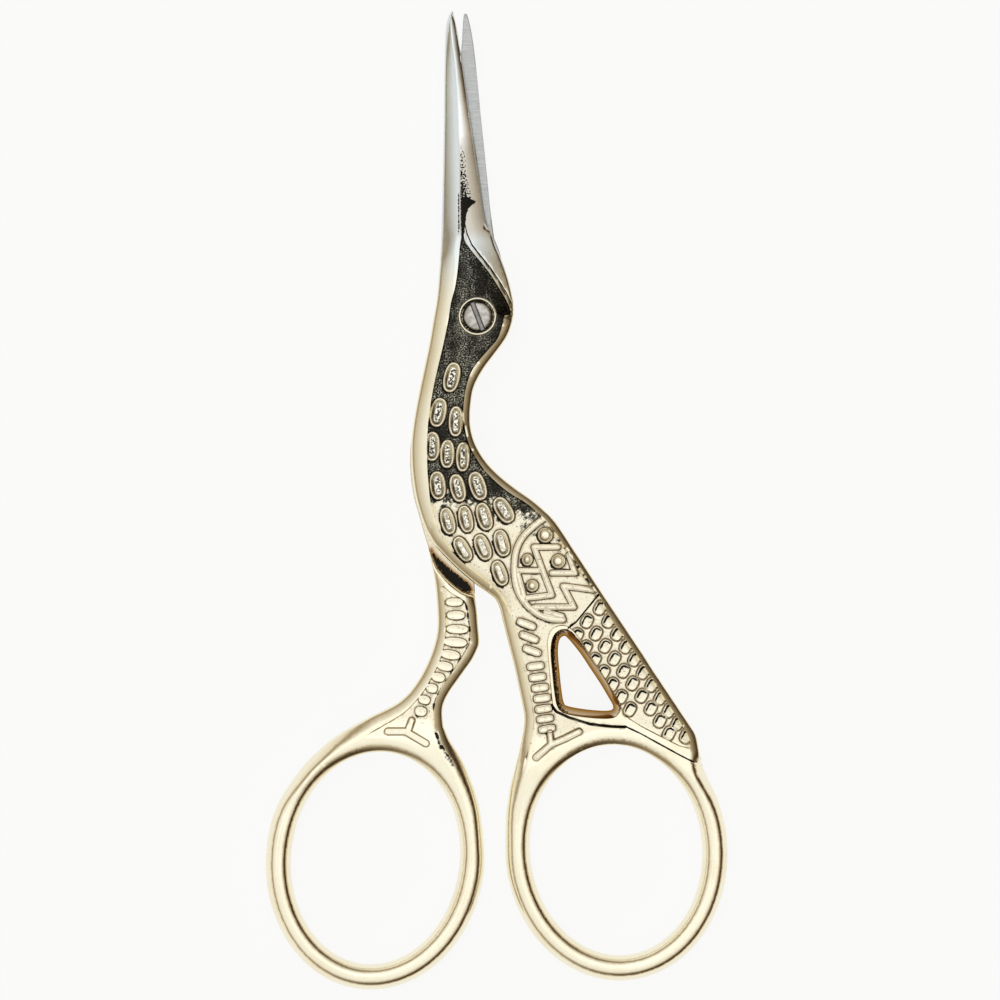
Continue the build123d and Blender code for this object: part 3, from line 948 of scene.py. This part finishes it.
def grooves_at(spots):
    """Depth of the drawn grooves in mm, and how near each spot is to one."""
    depth = np.zeros(len(spots))
    near = np.zeros(len(spots))
    for line, half, deep in RIDGE_LINES:
        share = np.clip(1 - line_distance(spots, np.array(line, float)) / half, 0, 1)
        depth = np.maximum(depth, deep * smoothstep(0, 1, share))
        near = np.maximum(near, smoothstep(0, 0.7, share))
    return depth, near


def add_grooves(plan):
    """Lines round each drawn groove."""
    for line, half, _ in RIDGE_LINES:
        for share in (0.25, 0.6, 1.0):
            plan.add(around(curve(line, STEP), half * share))


def feather_relief():
    """The feathers and the wing's round spots."""
    relief = Relief()
    relief.ovals(FEATHERS, FEATHER_PROFILE, OVAL_POWER)
    relief.ovals(WING_DISCS, DISC_PROFILE, 2)
    return relief


def wing_relief():
    """The wing's arc and zigzags, and the bars down the right leg."""
    relief = Relief()
    relief.bands([curve(WING_ARC, STEP)], WING_WIDTH + 0.6, BAND_PROFILE)
    relief.bands([straight(line, 100) for line in WING_LINES], WING_WIDTH, BAND_PROFILE)
    relief.ovals(RIGHT_BARS, BAR_PROFILE, BAR_POWER)
    return relief


def foot_relief(lines):
    """A forked mark above a bow."""
    relief = Relief()
    relief.bands([straight(line, 100) for line in lines], FOOT_WIDTH, FOOT_PROFILE)
    return relief


def dress(spots, outer, loop, relief, depth):
    """Sinks the ground into an outer height and stands the relief on it, with the ground's share."""
    share = smoothstep(0, WALL_PX, loop.measure(spots)[0])
    return outer + share * (relief - depth), share


def bared(raised):
    """Near 1 where nothing stands on the ground, from the height of what is raised there."""
    return 1 - smoothstep(0.02, 0.1, raised)


def heart_share(spots, feathers):
    """Near 1 in the middle of each feather."""
    total = np.zeros(len(spots))
    for feather in feathers:
        depth = oval_depth(spots, feather, OVAL_POWER)
        total = np.maximum(total, 0.6 * smoothstep(0.4, 0.48, depth) + 0.4 * smoothstep(0.5, 0.68, depth))
    return total


def ring_groove(spots, ovals, depth, half):
    """Painted shade in the groove inside each oval's raised ring, darkest at its lower left."""
    total = np.zeros(len(spots))
    for oval in ovals:
        near = np.clip(1.5 - 1.5 * np.abs(oval_depth(spots, oval, OVAL_POWER) - depth) / half, 0, 1)
        out = spots - np.array(oval[:2])
        out /= np.maximum(np.linalg.norm(out, axis=1), 1e-6)[:, None]
        side = np.clip(0.62 + 0.5 * (out @ np.array((-0.8, 0.6))), 0.2, 1)
        total = np.maximum(total, near * side)
    return total


def blade_dark_reflection(spots):
    """A painted dark reflection: the mirror-like patch above the head, with dark specks up along the front
    blade's ridge and a thin painted shade line beside it.
    """
    x, y = spots[:, 0], spots[:, 1]
    from_left = x - np.interp(y, (150, 197, 240), (460.4, 460.6, 461.4))
    width = np.interp(
        y,
        (150, 170, 185, 196, 199, 201.5, 203.5, 206, 210, 216, 226, 236),
        (5, 7.5, 10, 11.5, 9.5, 15.5, 14, 10, 7.2, 5.4, 4.2, 2.6),
    )
    patch = 1.4 * smoothstep(-0.4, 0.6, np.minimum(from_left, width - from_left))
    patch *= smoothstep(196.4, 198.2, y) * smoothstep(240, 238, y)
    specks = smoothstep(-0.4, 0.4, from_left) * np.clip(1 - from_left / width, 0, 1) ** 0.6
    specks *= np.interp(y, (138, 160, 185, 198), (0, 0.56, 0.78, 0.88)) * smoothstep(199, 197, y)
    line = smoothstep(0.8, 0.3, np.abs(x - 458.8)) * smoothstep(190, 198, y) * smoothstep(238, 232, y)
    return np.maximum(np.maximum(patch, specks), line)


def cutting_line(spots):
    """Painted shade: near 1 on the fine bevel along the front blade's cutting edge."""
    ridge, edge = blade_lines(FRONT_BLADE, spots[:, 1], 2, 3)
    share = (spots[:, 0] - ridge) / np.maximum(edge - ridge, 0.5)
    return smoothstep(0.9, 0.99, share) * smoothstep(236, 220, spots[:, 1])


def make_front():
    """The half on top: left blade, bird, right leg and right bow."""
    plan, outline, body, bow_hole, hole = begin(FRONT_RUNS, RIGHT_BOW)
    window = Loop(ring_of(TAIL_WINDOW, STEP))
    window_hole = plan.add(window.points, face=True)
    for away in (0.6, 1.8, 3.2, 4.8, 6.4, WINDOW_WALL):
        plan.add(window.points - window.inward * away)
    bore_hole = plan.add(circle(FRONT_BORE / PX_MM, 40), face=True)
    for radius in (RECESS[0], 16.6, *LIP_RADII):
        plan.add(circle(radius, 80))
    add_blade(plan, FRONT_BLADE)
    panel = panel_loop(FRONT_GROUND)
    add_inside(plan, panel, WALL_LINES)
    feathers = feather_relief()
    wing = wing_relief()
    relief = front_relief(feathers, wing)
    feet = foot_relief(RIGHT_FOOT)
    for line in relief.lines + feet.lines:
        plan.add(line)
    add_grooves(plan)
    shoulder = Loop(ring_of(FRONT_SHOULDER, STEP, smooth=False))
    add_inside(plan, shoulder, (0.5,))
    plan.fill(*REFLECTION_PATCH, 0.8, 0.5)
    plan.fill((405, 5), (740, 1000), FILL_STEP, FILL_CROWD)
    spots, triangles = plan.triangles({body}, {bow_hole, window_hole, bore_hole})
    x, y = spots[:, 0], spots[:, 1]

    # Upper side: plate, sunk ground with its relief, window, screw recess, then the blade
    outer = plate_height(spots, outline, hole, RIGHT_BOW_TOP)
    fade = (1 - smoothstep(*GROUND_FADE, y)) * smoothstep(*HOLE_FADE, -hole.measure(spots)[0])
    raised = relief.height(spots)
    dressed, ground = dress(spots, outer, panel, raised, PANEL_DEPTH * fade)
    past_window = np.clip(-window.measure(spots)[0] / WINDOW_WALL, 0, 1)
    wall = WINDOW_DROP * (1 - past_window) ** 1.25
    claws = feet.height(spots)
    carved, groove = grooves_at(spots)
    dressed = np.minimum(dressed + claws - carved, UPPER_TOP)
    dressed = np.minimum(dressed, UPPER_TOP - wall - 0.05)
    away = np.hypot(x - PIVOT_PX[0], y - PIVOT_PX[1])
    lip = np.interp(away, LIP_RADII, LIP_HEIGHTS)
    top = np.where(away < LIP_RADII[-1], dressed + lip, dressed)
    sink = smoothstep(RECESS[1], RECESS[0], away)
    top = top * (1 - sink) + (UPPER_BOTTOM + RECESS_FLOOR) * sink
    blade = UPPER_BOTTOM + blade_height(spots, FRONT_BLADE)
    share = smoothstep(*BOLSTER, y)
    top = blade * (1 - share) + top * share

    # Under side: flat where it laps the back half, the upper side's mirror image past the shoulder
    full = smoothstep(0, 0.5, shoulder.measure(spots)[0])
    bottom = UPPER_BOTTOM * (1 - full) + (2 * MIDDLE - dressed) * full
    bottom = np.where(y < BOLSTER[1], UPPER_BOTTOM, bottom)

    # Where the gold is dark or lined: painted shade and painted dark reflection, and the blade's facet
    bare = ground * fade * bared(raised + claws)
    rim_of_screw = smoothstep(16.6, 17.0, away) * smoothstep(19.4, 18.8, away)
    hollow = smoothstep(17.0, 16.4, away)
    # Painted shade: the bare sunk ground and the screw's recess are darkened; in the neck it becomes the
    # painted dark reflection.
    crevice = np.maximum(bare * (1 - rim_of_screw), hollow)
    thin = relief.beside(spots, (-0.7, 1.1)) * ground * 0.6
    shadow = np.maximum(feathers.beside(spots, FEATHER_SHADOW) * ground, thin)
    bowls = scale_shadow(spots) * ground * 0.9
    along = smoothstep(525, 545, y) * smoothstep(600, 580, y) * smoothstep(545, 555, x)
    wall_line = smoothstep(4.5, 1.5, panel.measure(spots)[0]) * along * ground * (raised < 0.1)
    shade = np.maximum(np.maximum(shadow, bowls), np.maximum(groove, 0.5 * wall_line))
    # Painted shade: dark lines at the foot of the relief, inside the wing's and feet's bands, and on the
    # blade's cutting bevel.
    line_shade = np.maximum(relief.line_shade(spots), 0.62 * wing.line_shade(spots, 0.16)) * ground
    line_shade = np.maximum(line_shade, np.maximum(feet.line_shade(spots), 0.5 * feet.line_shade(spots, 0.15)))
    line_shade = np.maximum(line_shade, cutting_line(spots))
    facet = smoothstep(0, 1.5, x - 459) * smoothstep(244, 228, y)
    # Painted shade in the grooves of the feathers' and discs' rings.
    disc_groove = 0.8 * ring_groove(spots, WING_DISCS, *DISC_RING)
    ring_shade = np.maximum(ring_groove(spots, FEATHERS, *FEATHER_RING), disc_groove)
    # Painted shade: the window's walls are painted amber and, on the left, black.
    dark_wall = np.where(past_window < 1, 1 - past_window, 0) ** 0.5
    side = smoothstep(572, 558, x) * smoothstep(2.2, 4.2, past_window * WINDOW_WALL) * (past_window < 0.97)
    none = np.zeros(len(spots))
    notes = {
        "ground": (ground * fade, ground * fade * full),
        "crevice": (crevice, bare * full),
        "shade": (shade, np.maximum(shadow, groove) * full),
        "line_shade": (line_shade, line_shade * full),
        "facet": (facet, none),
        "ring_shade": (ring_shade, none),
        "amber": (dark_wall, dark_wall * full),
        "painted_black": (np.maximum(side, blade_dark_reflection(spots)), none),
        "heart": (heart_share(spots, FEATHERS), none),
        "lapped": (none, 1 - full),
    }
    return build("front_half_cast", spots, triangles, top, bottom, notes)


def scale_shadow(spots):
    """The dark comma inside each scale, at its upper left."""
    total = np.zeros(len(spots))
    for place in scale_places():
        here = smoothstep(0.1, 0.2, scale_depth(spots, place, SCALE_SIZE))
        there = smoothstep(0.2, 0.1, scale_depth(spots + np.array((-0.9, -2.6)), place, SCALE_SIZE))
        total = np.maximum(total, here * there)
    return total


def make_back():
    """The half below: right blade, a plain neck under the bird's, left leg and left bow."""
    plan, outline, body, bow_hole, hole = begin(BACK_RUNS, LEFT_BOW)
    bore_hole = plan.add(circle(BACK_BORE / PX_MM, 36), face=True)
    add_blade(plan, BACK_BLADE)
    leg_panel = panel_loop(LEFT_LEG_PANEL)
    neck_panel = panel_loop(BACK_NECK_PANEL)
    for loop in (leg_panel, neck_panel):
        add_inside(plan, loop, WALL_LINES)
    leg = Relief()
    leg.ovals(LEFT_BARS, BAR_PROFILE, OVAL_POWER)
    neck = Relief()
    neck.ovals(BACK_FEATHERS, FEATHER_PROFILE, OVAL_POWER)
    feet = foot_relief(LEFT_FOOT)
    for line in leg.lines + neck.lines + feet.lines:
        plan.add(line)
    shoulder = Loop(ring_of(BACK_SHOULDER, STEP, smooth=False))
    add_inside(plan, shoulder, (0.5, 0.9, 1.8, 3.0, 4.5))
    pocket = Loop(ring_of(POCKET, STEP))
    plan.add(pocket.points)
    plan.fill((250, 5), (520, 1000), FILL_STEP, FILL_CROWD)
    spots, triangles = plan.triangles({body}, {bow_hole, bore_hole})
    y = spots[:, 1]

    # Upper side: flat under the front half, then a rounded step up to the leg's ground and its relief
    outer = plate_height(spots, outline, hole, LEFT_BOW_TOP)
    past = shoulder.measure(spots)[0]
    full = smoothstep(0, 0.5, past)
    fade = (1 - smoothstep(*LEFT_LEG_FADE, y)) * smoothstep(*HOLE_FADE, -hole.measure(spots)[0])
    bars = leg.height(spots)
    claws = feet.height(spots)
    dressed, ground = dress(spots, outer, leg_panel, bars, PANEL_DEPTH * 0.75 * fade)
    dressed = np.minimum(dressed + claws, UPPER_TOP)
    upper = dressed - rounding(np.maximum(past - 0.5, 0), 5, 0.7)
    lapped_top = LOWER_TOP - rounding(np.maximum(outline.measure(spots)[0], 0), 0.9, 0.07)
    top = lapped_top * (1 - full) + upper * full
    top = np.where(y < BOLSTER[1], lapped_top, top)

    # Under side: the mirror image, with a feathered neck like the front's
    feathers = neck.height(spots)
    under, neck_ground = dress(spots, dressed, neck_panel, feathers, PANEL_DEPTH)
    blade = LOWER_TOP - blade_height(spots, BACK_BLADE)
    share = smoothstep(*BOLSTER, y)
    bottom = blade * (1 - share) + (2 * MIDDLE - under) * share

    # Where the gold is dark or lined: painted shade, and the pocket painted near black as shade
    bare = ground * fade * bared(bars + claws)
    neck_bare = neck_ground * bared(feathers)
    # Painted shade: the pocket is painted near black and its rim amber.
    into_pocket = pocket.measure(spots)[0]
    pocket_rim = smoothstep(-5, 0, into_pocket) * (1 - full) * smoothstep(500, 540, y)
    deep = 1.5 * smoothstep(-0.6, 1.2, into_pocket) * (1 - full)
    # Painted shade along the edges of the bars, feet and feathers.
    line_shade = np.maximum(0.7 * leg.line_shade(spots) * ground, feet.line_shade(spots)) * full
    # Painted shade beside the bars, along the leg panel's right wall and in a line down the left leg.
    beside = leg.beside(spots, (-0.4, 1.8)) * ground * 0.5
    right_wall = smoothstep(0.6, -0.6, leg_panel.measure(spots + np.array((2.3, 0)))[0]) * ground
    right_wall *= smoothstep(586, 600, y) * smoothstep(722, 700, y)
    leg_shade_line = smoothstep(3.6, 1.0, line_distance(spots, np.array(LEG_SHADE_LINE, float)))
    beside = np.maximum(beside, 0.56 * np.maximum(right_wall, leg_shade_line))
    none = np.zeros(len(spots))
    notes = {
        "ground": (ground * full * fade, np.maximum(ground * fade, neck_ground)),
        "crevice": (bare * full * 0.5, np.maximum(bare * 0.5, neck_bare)),
        "shade": (beside * full, neck.beside(spots, FEATHER_SHADOW) * neck_ground),
        "line_shade": (line_shade, neck.line_shade(spots) * neck_ground),
        "ring_shade": (none, ring_groove(spots, BACK_FEATHERS, *FEATHER_RING) * neck_ground),
        "amber": (pocket_rim, none),
        "painted_black": (deep, none),
        "heart": (none, heart_share(spots, BACK_FEATHERS) * neck_ground),
        "lapped": (1 - full, none),
    }
    return build("back_half_cast", spots, triangles, top, bottom, notes)


def make_screw():
    """The pivot screw: a domed head with a slot, a plain shank and a threaded end."""
    plan = Plan()
    radius = SCREW_RADIUS / PX_MM
    head = plan.add(circle(radius, 96), face=True)
    for share in (0.995, 0.975, 0.93, 0.86, 0.78, 0.5, 0.35, 0.2):
        plan.add(circle(radius * share, 72))
    for edge in (SHANK_RADIUS, SHANK_RADIUS - 0.004, THREAD_RADIUS, THREAD_RADIUS - 0.004):
        plan.add(circle(edge / PX_MM, 64))
    half_slot = SLOT_WIDTH / 2
    turn = math.radians(SLOT_TURN)
    run = np.array([-math.sin(turn), -math.cos(turn)])
    side = np.array([run[1], -run[0]])
    centre = np.array(PIVOT_PX)
    reach = run * radius * 0.94
    for away in (half_slot - 0.02, half_slot, half_slot + 0.05):
        for sign in (-1, 1):
            edge = centre + side * sign * away / PX_MM
            plan.add(straight([edge - reach, edge + reach], 1.2), closed=False)
    plan.fill((455, 294), (500, 340), 1.3, 0.9)
    spots, triangles = plan.triangles({head}, set())
    away = np.hypot(spots[:, 0] - PIVOT_PX[0], spots[:, 1] - PIVOT_PX[1]) * PX_MM
    across_slot = np.abs((spots - centre) @ side) * PX_MM
    share = away / SCREW_RADIUS
    top = SEAT + HEAD_HEIGHT - DOME * share**2 - rounding((1 - share) * SCREW_RADIUS, 0.3, 0.32)
    lip = rounding(np.maximum(across_slot - half_slot, 0), 0.05, 0.03)
    top = np.where(across_slot < half_slot - 0.01, SEAT + SLOT_FLOOR, top - lip)
    bottom = np.where(away > SHANK_RADIUS - 0.002, SEAT, UPPER_BOTTOM)
    bottom = np.where(away < THREAD_RADIUS - 0.002, THREAD_END, bottom)
    none = np.zeros(len(spots))
    # Painted shade in the slot, darkest at its edges, and round the head's rim.
    edge = 0.55 + 0.45 * smoothstep(half_slot - 0.12, half_slot - 0.03, across_slot)
    rim = smoothstep(0.9, 0.99, share)
    notes = {"slot": (np.maximum((across_slot < half_slot + 0.01) * edge, rim), none)}
    return build("pivot_screw_turned", spots, triangles, top, bottom, notes)


class Shader:
    """Short calls for wiring the nodes of a material or of the world."""

    def __init__(self, owner, output="OutputMaterial"):
        owner.use_nodes = True
        self.owner = owner
        self.tree = owner.node_tree
        self.tree.nodes.clear()
        self.output = self.node(output)

    def node(self, kind, **settings):
        made = self.tree.nodes.new("ShaderNode" + kind)
        for name, value in settings.items():
            if hasattr(made, name):
                setattr(made, name, value)
            else:
                self.put(value, made.inputs[name])
        return made

    def put(self, value, socket):
        if isinstance(value, bpy.types.NodeSocket):
            self.tree.links.new(value, socket)
        else:
            socket.default_value = value

    def finish(self, surface):
        self.put(surface.outputs[0], self.output.inputs["Surface"])
        return self.owner

    def attribute(self, name):
        return self.node("Attribute", attribute_name=name).outputs["Fac"]

    def place(self, scale=(1, 1, 1), turn=0.0):
        where = self.node("TexCoord").outputs["Object"]
        rotation = (0, 0, math.radians(turn))
        return self.node("Mapping", Vector=where, Scale=scale, Rotation=rotation).outputs["Vector"]

    def noise(self, scale, detail=3.0, roughness=0.5, stretch=(1, 1, 1), turn=0.0):
        where = self.place(stretch, turn)
        made = self.node("TexNoise", Vector=where, Scale=scale, Detail=detail, Roughness=roughness)
        return made.outputs["Fac"]

    def spread(self, value, low, high, to_low=0.0, to_high=1.0):
        made = self.node("MapRange", interpolation_type="SMOOTHSTEP", Value=value)
        for name, number in zip(("From Min", "From Max", "To Min", "To Max"), (low, high, to_low, to_high)):
            made.inputs[name].default_value = number
        return made.outputs["Result"]

    def math(self, operation, a, b):
        made = self.node("Math", operation=operation)
        self.put(a, made.inputs[0])
        self.put(b, made.inputs[1])
        return made.outputs[0]

    def times(self, a, b):
        return self.math("MULTIPLY", a, b)

    def plus(self, a, b):
        return self.math("ADD", a, b)

    def mix(self, share, a, b):
        made = self.node("Mix", data_type="RGBA", Factor=share)
        for value, number in ((a, 6), (b, 7)):
            self.put(value if isinstance(value, bpy.types.NodeSocket) else (*value, 1), made.inputs[number])
        return made.outputs[2]

    def blend(self, share, a, b):
        """One surface or background over another."""
        made = self.node("MixShader")
        for number, value in enumerate((share, a.outputs[0], b.outputs[0])):
            self.put(value, made.inputs[number])
        return made

    def ramp(self, value, stops):
        made = self.node("ValToRGB", Fac=value)
        elements = made.color_ramp.elements
        elements.remove(elements[1])
        elements[0].position = stops[0][0]
        elements[0].color = (*stops[0][1], 1)
        for position, colour in stops[1:]:
            elements.new(position).color = (*colour, 1)
        return made.outputs[0]

    def metal(self, colour, roughness, bump, tint=(1, 1, 1, 1)):
        made = self.node("BsdfPrincipled", Metallic=1.0, Roughness=roughness, Normal=bump.outputs["Normal"])
        self.put(colour, made.inputs["Base Color"])
        self.put(tint, made.inputs["Specular Tint"])
        return self.finish(made)


GOLD = (0.93, 0.875, 0.685)
DEEP_GOLD = (0.84, 0.7, 0.45)
SILVER = (0.72, 0.77, 0.775)
BRIGHT = (0.96, 0.96, 0.95)
CREAM = (0.97, 0.93, 0.8)
FLECK = (0.5, 0.49, 0.38)
RING_SHADE = (0.045, 0.028, 0.012)
GRIND = (0.46, 0.465, 0.46)
GRIND_GOLD = (0.6, 0.52, 0.37)
PIT_AND_SHADE_BLACK = (0.013, 0.012, 0.01)
BROWN = (0.19, 0.12, 0.052)
AMBER = (0.3, 0.16, 0.045)
AMBER_EDGE = (0.55, 0.32, 0.1)
FACET_TAN = (0.62, 0.585, 0.515)
SCREW_DARK = (0.38, 0.36, 0.325)
SCREW_LIGHT = (0.64, 0.62, 0.575)
SLOT_DARK = (0.05, 0.042, 0.038)
WHITE = (1, 1, 1, 1)
FLOOR_GRAY = (0.94, 0.94, 0.94, 1)


def gilt_steel():
    """Gold plate that thins to bare polished steel on the blades, with a painted dark reflection in the
    sunk neck and painted shade in the hollows and along the relief.
    """
    make = Shader(bpy.data.materials.new("gilt_steel_plate"))
    split = make.node("SeparateXYZ", Vector=make.place())
    across_x, up = split.outputs["X"], split.outputs["Y"]
    cloud = make.noise(260, 4, 0.55)
    patch = make.noise(1600, 5, 0.65)
    grain = make.noise(5200, 3, 0.6)
    pits = make.noise(5600, 3, 0.6)
    flecks = make.noise(8600, 4, 0.7)
    drift = make.noise(520, 4, 0.6, (1, 0.45, 1))
    grind = make.noise(900, 4, 0.65, (1, 22, 1), 7)
    wave = make.noise(900, 2, 0.4)
    names = ("ground", "crevice", "shade", "line_shade", "facet", "ring_shade", "amber", "painted_black", "heart", "lapped")
    ground, crevice, shade, line_shade, facet, ring_shade, amber, painted_black, heart, lapped = map(make.attribute, names)

    # Gold, pale in the feathers' hearts, gives way to steel at the pivot and to tan on the blade's facet,
    # painted bright towards the tip as a painted highlight.
    border = make.plus(up, make.spread(cloud, 0.3, 0.7, -0.0008, 0.0008))
    plate = make.mix(make.spread(cloud, 0.45, 0.75, 0, 0.3), GOLD, DEEP_GOLD)
    colour = make.mix(make.spread(border, -0.001, 0.0085), plate, SILVER)
    colour = make.mix(make.spread(heart, 0.1, 0.6, 0, 0.85), colour, CREAM)
    facet_colour = make.mix(make.spread(border, 0.0148, 0.0182), FACET_TAN, BRIGHT)
    colour = make.mix(facet, colour, facet_colour)

    # The neck's ground is painted near black with pale flecks as a painted dark reflection, and breaks up
    # into gold lower down.
    line = make.plus(up, make.times(across_x, 0.27))
    reach = make.plus(line, make.spread(patch, 0.3, 0.7, -0.0016, 0.0016))
    sunk_neck = make.times(crevice, make.spread(reach, -0.0185, -0.0172))
    thick = make.spread(drift, 0.41, 0.59, -0.08, -0.85)
    fleck = make.plus(make.times(make.spread(flecks, 0.5, 0.62), thick), 1.0)
    dark = make.times(sunk_neck, fleck)

    # Painted shade: brown in the bare ground and along the relief's edges, near black in the ring grooves,
    # amber on the window's walls, ragged black in the grooves, beside the relief, in the window and in the
    # pocket; painted dark reflection in the neck and on the blade; and specks on the ground and in the
    # feathers' hearts
    broken = make.spread(make.plus(shade, make.spread(patch, 0.3, 0.7, -0.25, 0.25)), 0.35, 0.6)
    heart_specks = make.spread(make.plus(pits, make.spread(heart, 0.6, 1.0, -0.05, 0.06)), 0.5, 0.55)
    high = make.spread(up, -0.024, -0.014, 0.3, 0.95)
    heart_dark = make.times(make.times(heart, heart_specks), high)
    ragged = make.times(make.spread(pits, 0.35, 0.65, -0.5, 0.5), make.spread(painted_black, 0.02, 0.3))
    streak = make.spread(make.plus(painted_black, ragged), 0.45, 0.55)
    for mask, shown in (
        (make.times(crevice, 0.12), BROWN),
        (make.times(sunk_neck, 0.8), FLECK),
        (make.times(ground, make.spread(pits, 0.61, 0.67, 0, 0.75)), BROWN),
        (make.times(line_shade, 0.93), BROWN),
        (make.times(ring_shade, 0.95), RING_SHADE),
        (amber, AMBER),
        (dark, PIT_AND_SHADE_BLACK),
        (broken, PIT_AND_SHADE_BLACK),
        (heart_dark, PIT_AND_SHADE_BLACK),
        (streak, PIT_AND_SHADE_BLACK),
    ):
        colour = make.mix(mask, colour, shown)

    # The flat faces between the halves are ground: gray on the blades, satin gold below them.
    ground_blade = make.times(lapped, make.spread(up, 0.004, 0.0065))
    inner = make.times(make.math("SUBTRACT", lapped, ground_blade), make.spread(grind, 0.3, 0.7, 0.25, 0.7))
    inner = make.times(inner, make.math("SUBTRACT", 1.0, amber))
    colour = make.mix(make.times(ground_blade, make.spread(grind, 0.35, 0.65, 0.5, 0.95)), colour, GRIND)
    colour = make.mix(inner, colour, GRIND_GOLD)
    roughness = make.spread(grain, 0.3, 0.7, 0.09, 0.19)
    for mask, rougher in ((ground_blade, 0.3), (inner, 0.25), (dark, 0.12)):
        roughness = make.plus(roughness, make.times(mask, rougher))
    bump = make.node("Bump", Strength=0.07, Distance=0.00004, Height=wave)
    rough_share = make.math("MAXIMUM", make.times(ground_blade, 0.8), make.times(heart, 0.3))
    strength = make.plus(rough_share, make.spread(ground, 0, 1, 0.015, 0.1))
    height = make.mix(ground_blade, flecks, grind)
    under = bump.outputs["Normal"]
    fine = make.node("Bump", Distance=0.000014, Strength=strength, Height=height, Normal=under)
    # The specular tint turns amber where the walls are painted amber as shade.
    return make.metal(colour, roughness, fine, make.mix(amber, (1, 1, 1), AMBER_EDGE))


def screw_steel():
    """Plain gray steel, a little cloudy from handling, with painted shade in the slot and round the head's
    rim.
    """
    make = Shader(bpy.data.materials.new("screw_steel_turned"))
    cloud = make.noise(1500, 4, 0.6)
    colour = make.mix(make.spread(cloud, 0.38, 0.62), SCREW_DARK, SCREW_LIGHT)
    colour = make.mix(make.attribute("slot"), colour, SLOT_DARK)
    bump = make.node("Bump", Strength=0.15, Distance=0.00002, Height=make.noise(9000, 2, 0.5))
    return make.metal(colour, make.spread(cloud, 0.3, 0.7, 0.22, 0.4), bump)


def floor_material():
    """A pale plain floor that shows white to the camera and in the metal, and keeps the shadow."""
    make = Shader(bpy.data.materials.new("pale_floor"))
    path = make.node("LightPath")
    seen = make.math("MAXIMUM", path.outputs["Is Camera Ray"], path.outputs["Is Glossy Ray"])
    diffuse = make.node("BsdfDiffuse", Color=FLOOR_GRAY)
    white = make.node("Emission", Color=WHITE, Strength=1.0)
    return make.finish(make.blend(make.times(seen, 0.88), diffuse, white))


def studio():
    """A white room overhead that darkens to tan near the horizon, with two soft lamps."""
    world = bpy.data.worlds.new("studio_room")
    bpy.context.scene.world = world
    make = Shader(world, "OutputWorld")
    where = make.node("TexCoord").outputs["Generated"]
    up = make.node("SeparateXYZ", Vector=where).outputs["Z"]
    lean = make.node("VectorMath", operation="DOT_PRODUCT")
    make.put(where, lean.inputs[0])
    make.put(DARK_SIDE, lean.inputs[1])
    side = make.spread(lean.outputs["Value"], -0.75, 0.75)
    sky = make.mix(side, make.ramp(up, LIGHT_SKY), make.ramp(up, DARK_SKY))
    room = make.node("Background", Color=sky)
    white = make.node("Background", Color=WHITE)
    seen = make.node("LightPath").outputs["Is Camera Ray"]
    make.finish(make.blend(seen, room, white))
    for name, place, size, power in (
        ("key_lamp", (-0.14, 0.2, 0.75), 0.5, 0.15),
        ("fill_lamp", (0.2, 0.05, 0.8), 0.5, 0.1),
    ):
        light = bpy.data.lights.new(name, "AREA")
        light.size = size
        light.energy = power
        lamp = bpy.data.objects.new(name, light)
        lamp.location = place
        lamp.rotation_euler = (-Vector(place)).to_track_quat("-Z", "Y").to_euler()
        bpy.context.scene.collection.objects.link(lamp)


def lay_floor():
    """A wide flat square just under the scissors."""
    mesh = bpy.data.meshes.new("floor")
    work = bmesh.new()
    bmesh.ops.create_grid(work, x_segments=2, y_segments=2, size=1.5)
    work.to_mesh(mesh)
    work.free()
    floor = bpy.data.objects.new("floor", mesh)
    floor.location = (0, 0, -0.00002)
    bpy.context.scene.collection.objects.link(floor)
    mesh.materials.append(floor_material())


def aim_camera():
    """Straight down, with the whole picture 93.9 mm across at the scissors."""
    scene = bpy.context.scene
    lens = bpy.data.cameras.new("straight_down")
    lens.sensor_width = SENSOR_MM
    lens.lens = SENSOR_MM * CAMERA_HEIGHT / (PX_MM * MM * PICTURE_PX)
    lens.clip_start = 0.01
    camera = bpy.data.objects.new("straight_down", lens)
    middle = to_metres(np.array([[PICTURE_PX / 2, PICTURE_PX / 2]]), np.array([2.5]))[0]
    camera.location = (middle[0], middle[1], middle[2] + CAMERA_HEIGHT)
    scene.collection.objects.link(camera)
    scene.camera = camera


bpy.context.scene.view_settings.view_transform = "Standard"
front = make_front()
back = make_back()
screw = make_screw()
plate = gilt_steel()
steel = screw_steel()
for piece, node, body, material, slot in (
    (front, "front_half", "front", plate, "gilt_steel"),
    (back, "back_half", "back", plate, "gilt_steel"),
    (screw, "pivot_screw", "back", steel, "screw_steel"),
):
    piece.data.materials.append(material)
    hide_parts(node)
    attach(piece, body)
studio()
lay_floor()
aim_camera()
